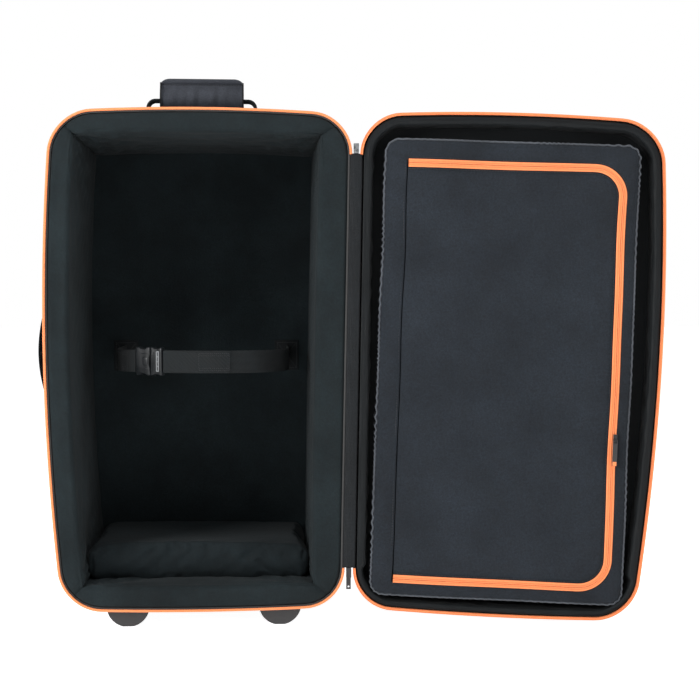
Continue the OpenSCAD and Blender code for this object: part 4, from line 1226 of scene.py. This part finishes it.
# The side handle: two pads, and webbing that bows out between them
side_lo, side_hi = from_frame(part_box("side_handle_webbing"))
side_z, side_y = (side_lo[2] + side_hi[2]) / 2, (side_lo[1] + side_hi[1]) / 2
PAD_APART, BOW_HALF = 120, 118
on_free = DENSE[:, 0] < MID_X
side_spans = [on_free & (np.abs(DENSE[:, 1] - side_z - end * PAD_APART) < 22) for end in (-1, 1)]
patches("side_handle_pads", "side_handle_patches", side_spans, side_y - 19, side_y + 19, 3.0)
edge_x, edge_z = DENSE[on_free][::-1].T
apex = side_lo[0] + 1.6
foot_x = np.interp([side_z - PAD_APART, side_z + PAD_APART], edge_z, edge_x).mean() - 4.6
rise = foot_x - apex
bow_r = (BOW_HALF ** 2 + rise ** 2) / (2 * rise)
half_a = math.asin(BOW_HALF / bow_r)
a = np.linspace(-half_a, half_a, 70)
bow_out = np.stack([-np.cos(a), np.sin(a)], 1)
bow = lift([apex + bow_r, side_z] + bow_r * bow_out, side_y)
band_mesh("side_handle_web", bow, lift(bow_out), BACK, 38, 3.2, "case_body", "side_handle_webbing")

# ---------------------------------------------------------------- CAD pieces that keep their shape
def keep(node, material, bevel):
    """Gives a CAD node its material, and a bevel of so many metres on its edges."""
    obj = frame["nodes"][node]
    obj.data.materials.clear()
    obj.data.materials.append(material)
    if bevel:
        mod = obj.modifiers.new("edges", "BEVEL")
        mod.width, mod.segments, mod.limit_method = bevel, 3, "ANGLE"


for node in ("body_stiffener", "body_back_board", "lid_board"):
    keep(node, BOARD, 0)
for node, material, bevel in (
    ("front_feet", PLASTIC, 0.0018), ("foot_screws", STEEL, 0.0004),
    ("wheel_housings", PLASTIC, 0.0012), ("housing_screws", STEEL, 0.0004), ("wheel_axles", STEEL, 0.0005),
    ("free_wheel_hub", PLASTIC, 0.0008), ("hinge_wheel_hub", PLASTIC, 0.0008),
    ("free_wheel_tyre", RUBBER, 0.0008), ("hinge_wheel_tyre", RUBBER, 0.0008),
    ("top_slider", STEEL, 0.0009), ("bottom_slider", DARK_METAL, 0.0009),
    ("top_pull", PLASTIC, 0.0004), ("bottom_pull", PLASTIC, 0.0004),
    ("pouch_slider", DARK_METAL, 0.0005), ("pouch_pull", PLASTIC, 0.0004),
):
    keep(node, material, bevel)

# ---------------------------------------------------------------- stage, light, camera
floor_mesh = bpy.data.meshes.new("floor")
floor_mesh.from_pydata([(-30, -30, 0), (30, -30, 0), (30, 30, 0), (-30, 30, 0)], [], [(0, 1, 2, 3)])
floor = bpy.data.objects.new("floor", floor_mesh)
bpy.context.scene.collection.objects.link(floor)
floor_look = Nodes("pale_floor")
floor_look.set(Base_Color=(0.93, 0.93, 0.93, 1), Roughness=0.9,
               Emission_Color=(1, 1, 1, 1), Emission_Strength=0.95)
floor_mesh.materials.append(floor_look.material)

world = bpy.data.worlds.new("studio")
bpy.context.scene.world = world
world.use_nodes = True
soft = world.node_tree.nodes["Background"]
soft.inputs["Color"].default_value = (1, 1, 1, 1)
# The camera sees full white behind the object, and the object is lit by a fifth of it
seen = world.node_tree.nodes.new("ShaderNodeLightPath").outputs["Is Camera Ray"]
level = world.node_tree.nodes.new("ShaderNodeMapRange")
level.inputs["To Min"].default_value = 0.2
world.node_tree.links.new(seen, level.inputs["Value"])
world.node_tree.links.new(level.outputs["Result"], soft.inputs["Strength"])


def softbox(name, place, aim, size, power):
    """A round area light that faces a point."""
    light = bpy.data.lights.new(name, "AREA")
    light.shape, light.size, light.energy = "DISK", size, power
    obj = bpy.data.objects.new(name, light)
    obj.location = place
    obj.rotation_euler = (Vector(aim) - Vector(place)).to_track_quat("-Z", "Y").to_euler()
    bpy.context.scene.collection.objects.link(obj)


softbox("key_light", (-2.9, -1.9, 1.3), (0, 0, 0.5), 1.4, 95)
softbox("fill_light", (2.7, -2.1, 1.2), (0, 0, 0.5), 1.8, 38)
softbox("top_light", (-0.3, -1.1, 3.0), (0, 0, 0.4), 2.0, 50)

camera = bpy.data.objects.new("camera", bpy.data.cameras.new("camera"))
bpy.context.scene.collection.objects.link(camera)
camera.location = (-0.1498, -2.5473, 0.5651)
yaw, pitch = math.radians(3.85), math.radians(1.92)
forward = Vector((math.sin(yaw) * math.cos(pitch), math.cos(yaw) * math.cos(pitch), -math.sin(pitch)))
camera.rotation_euler = forward.to_track_quat("-Z", "Y").to_euler()
camera.data.sensor_width, camera.data.lens = 36, 70.36
camera.data.clip_end = 100
bpy.context.scene.camera = camera
bpy.context.scene.view_settings.view_transform = "Standard"
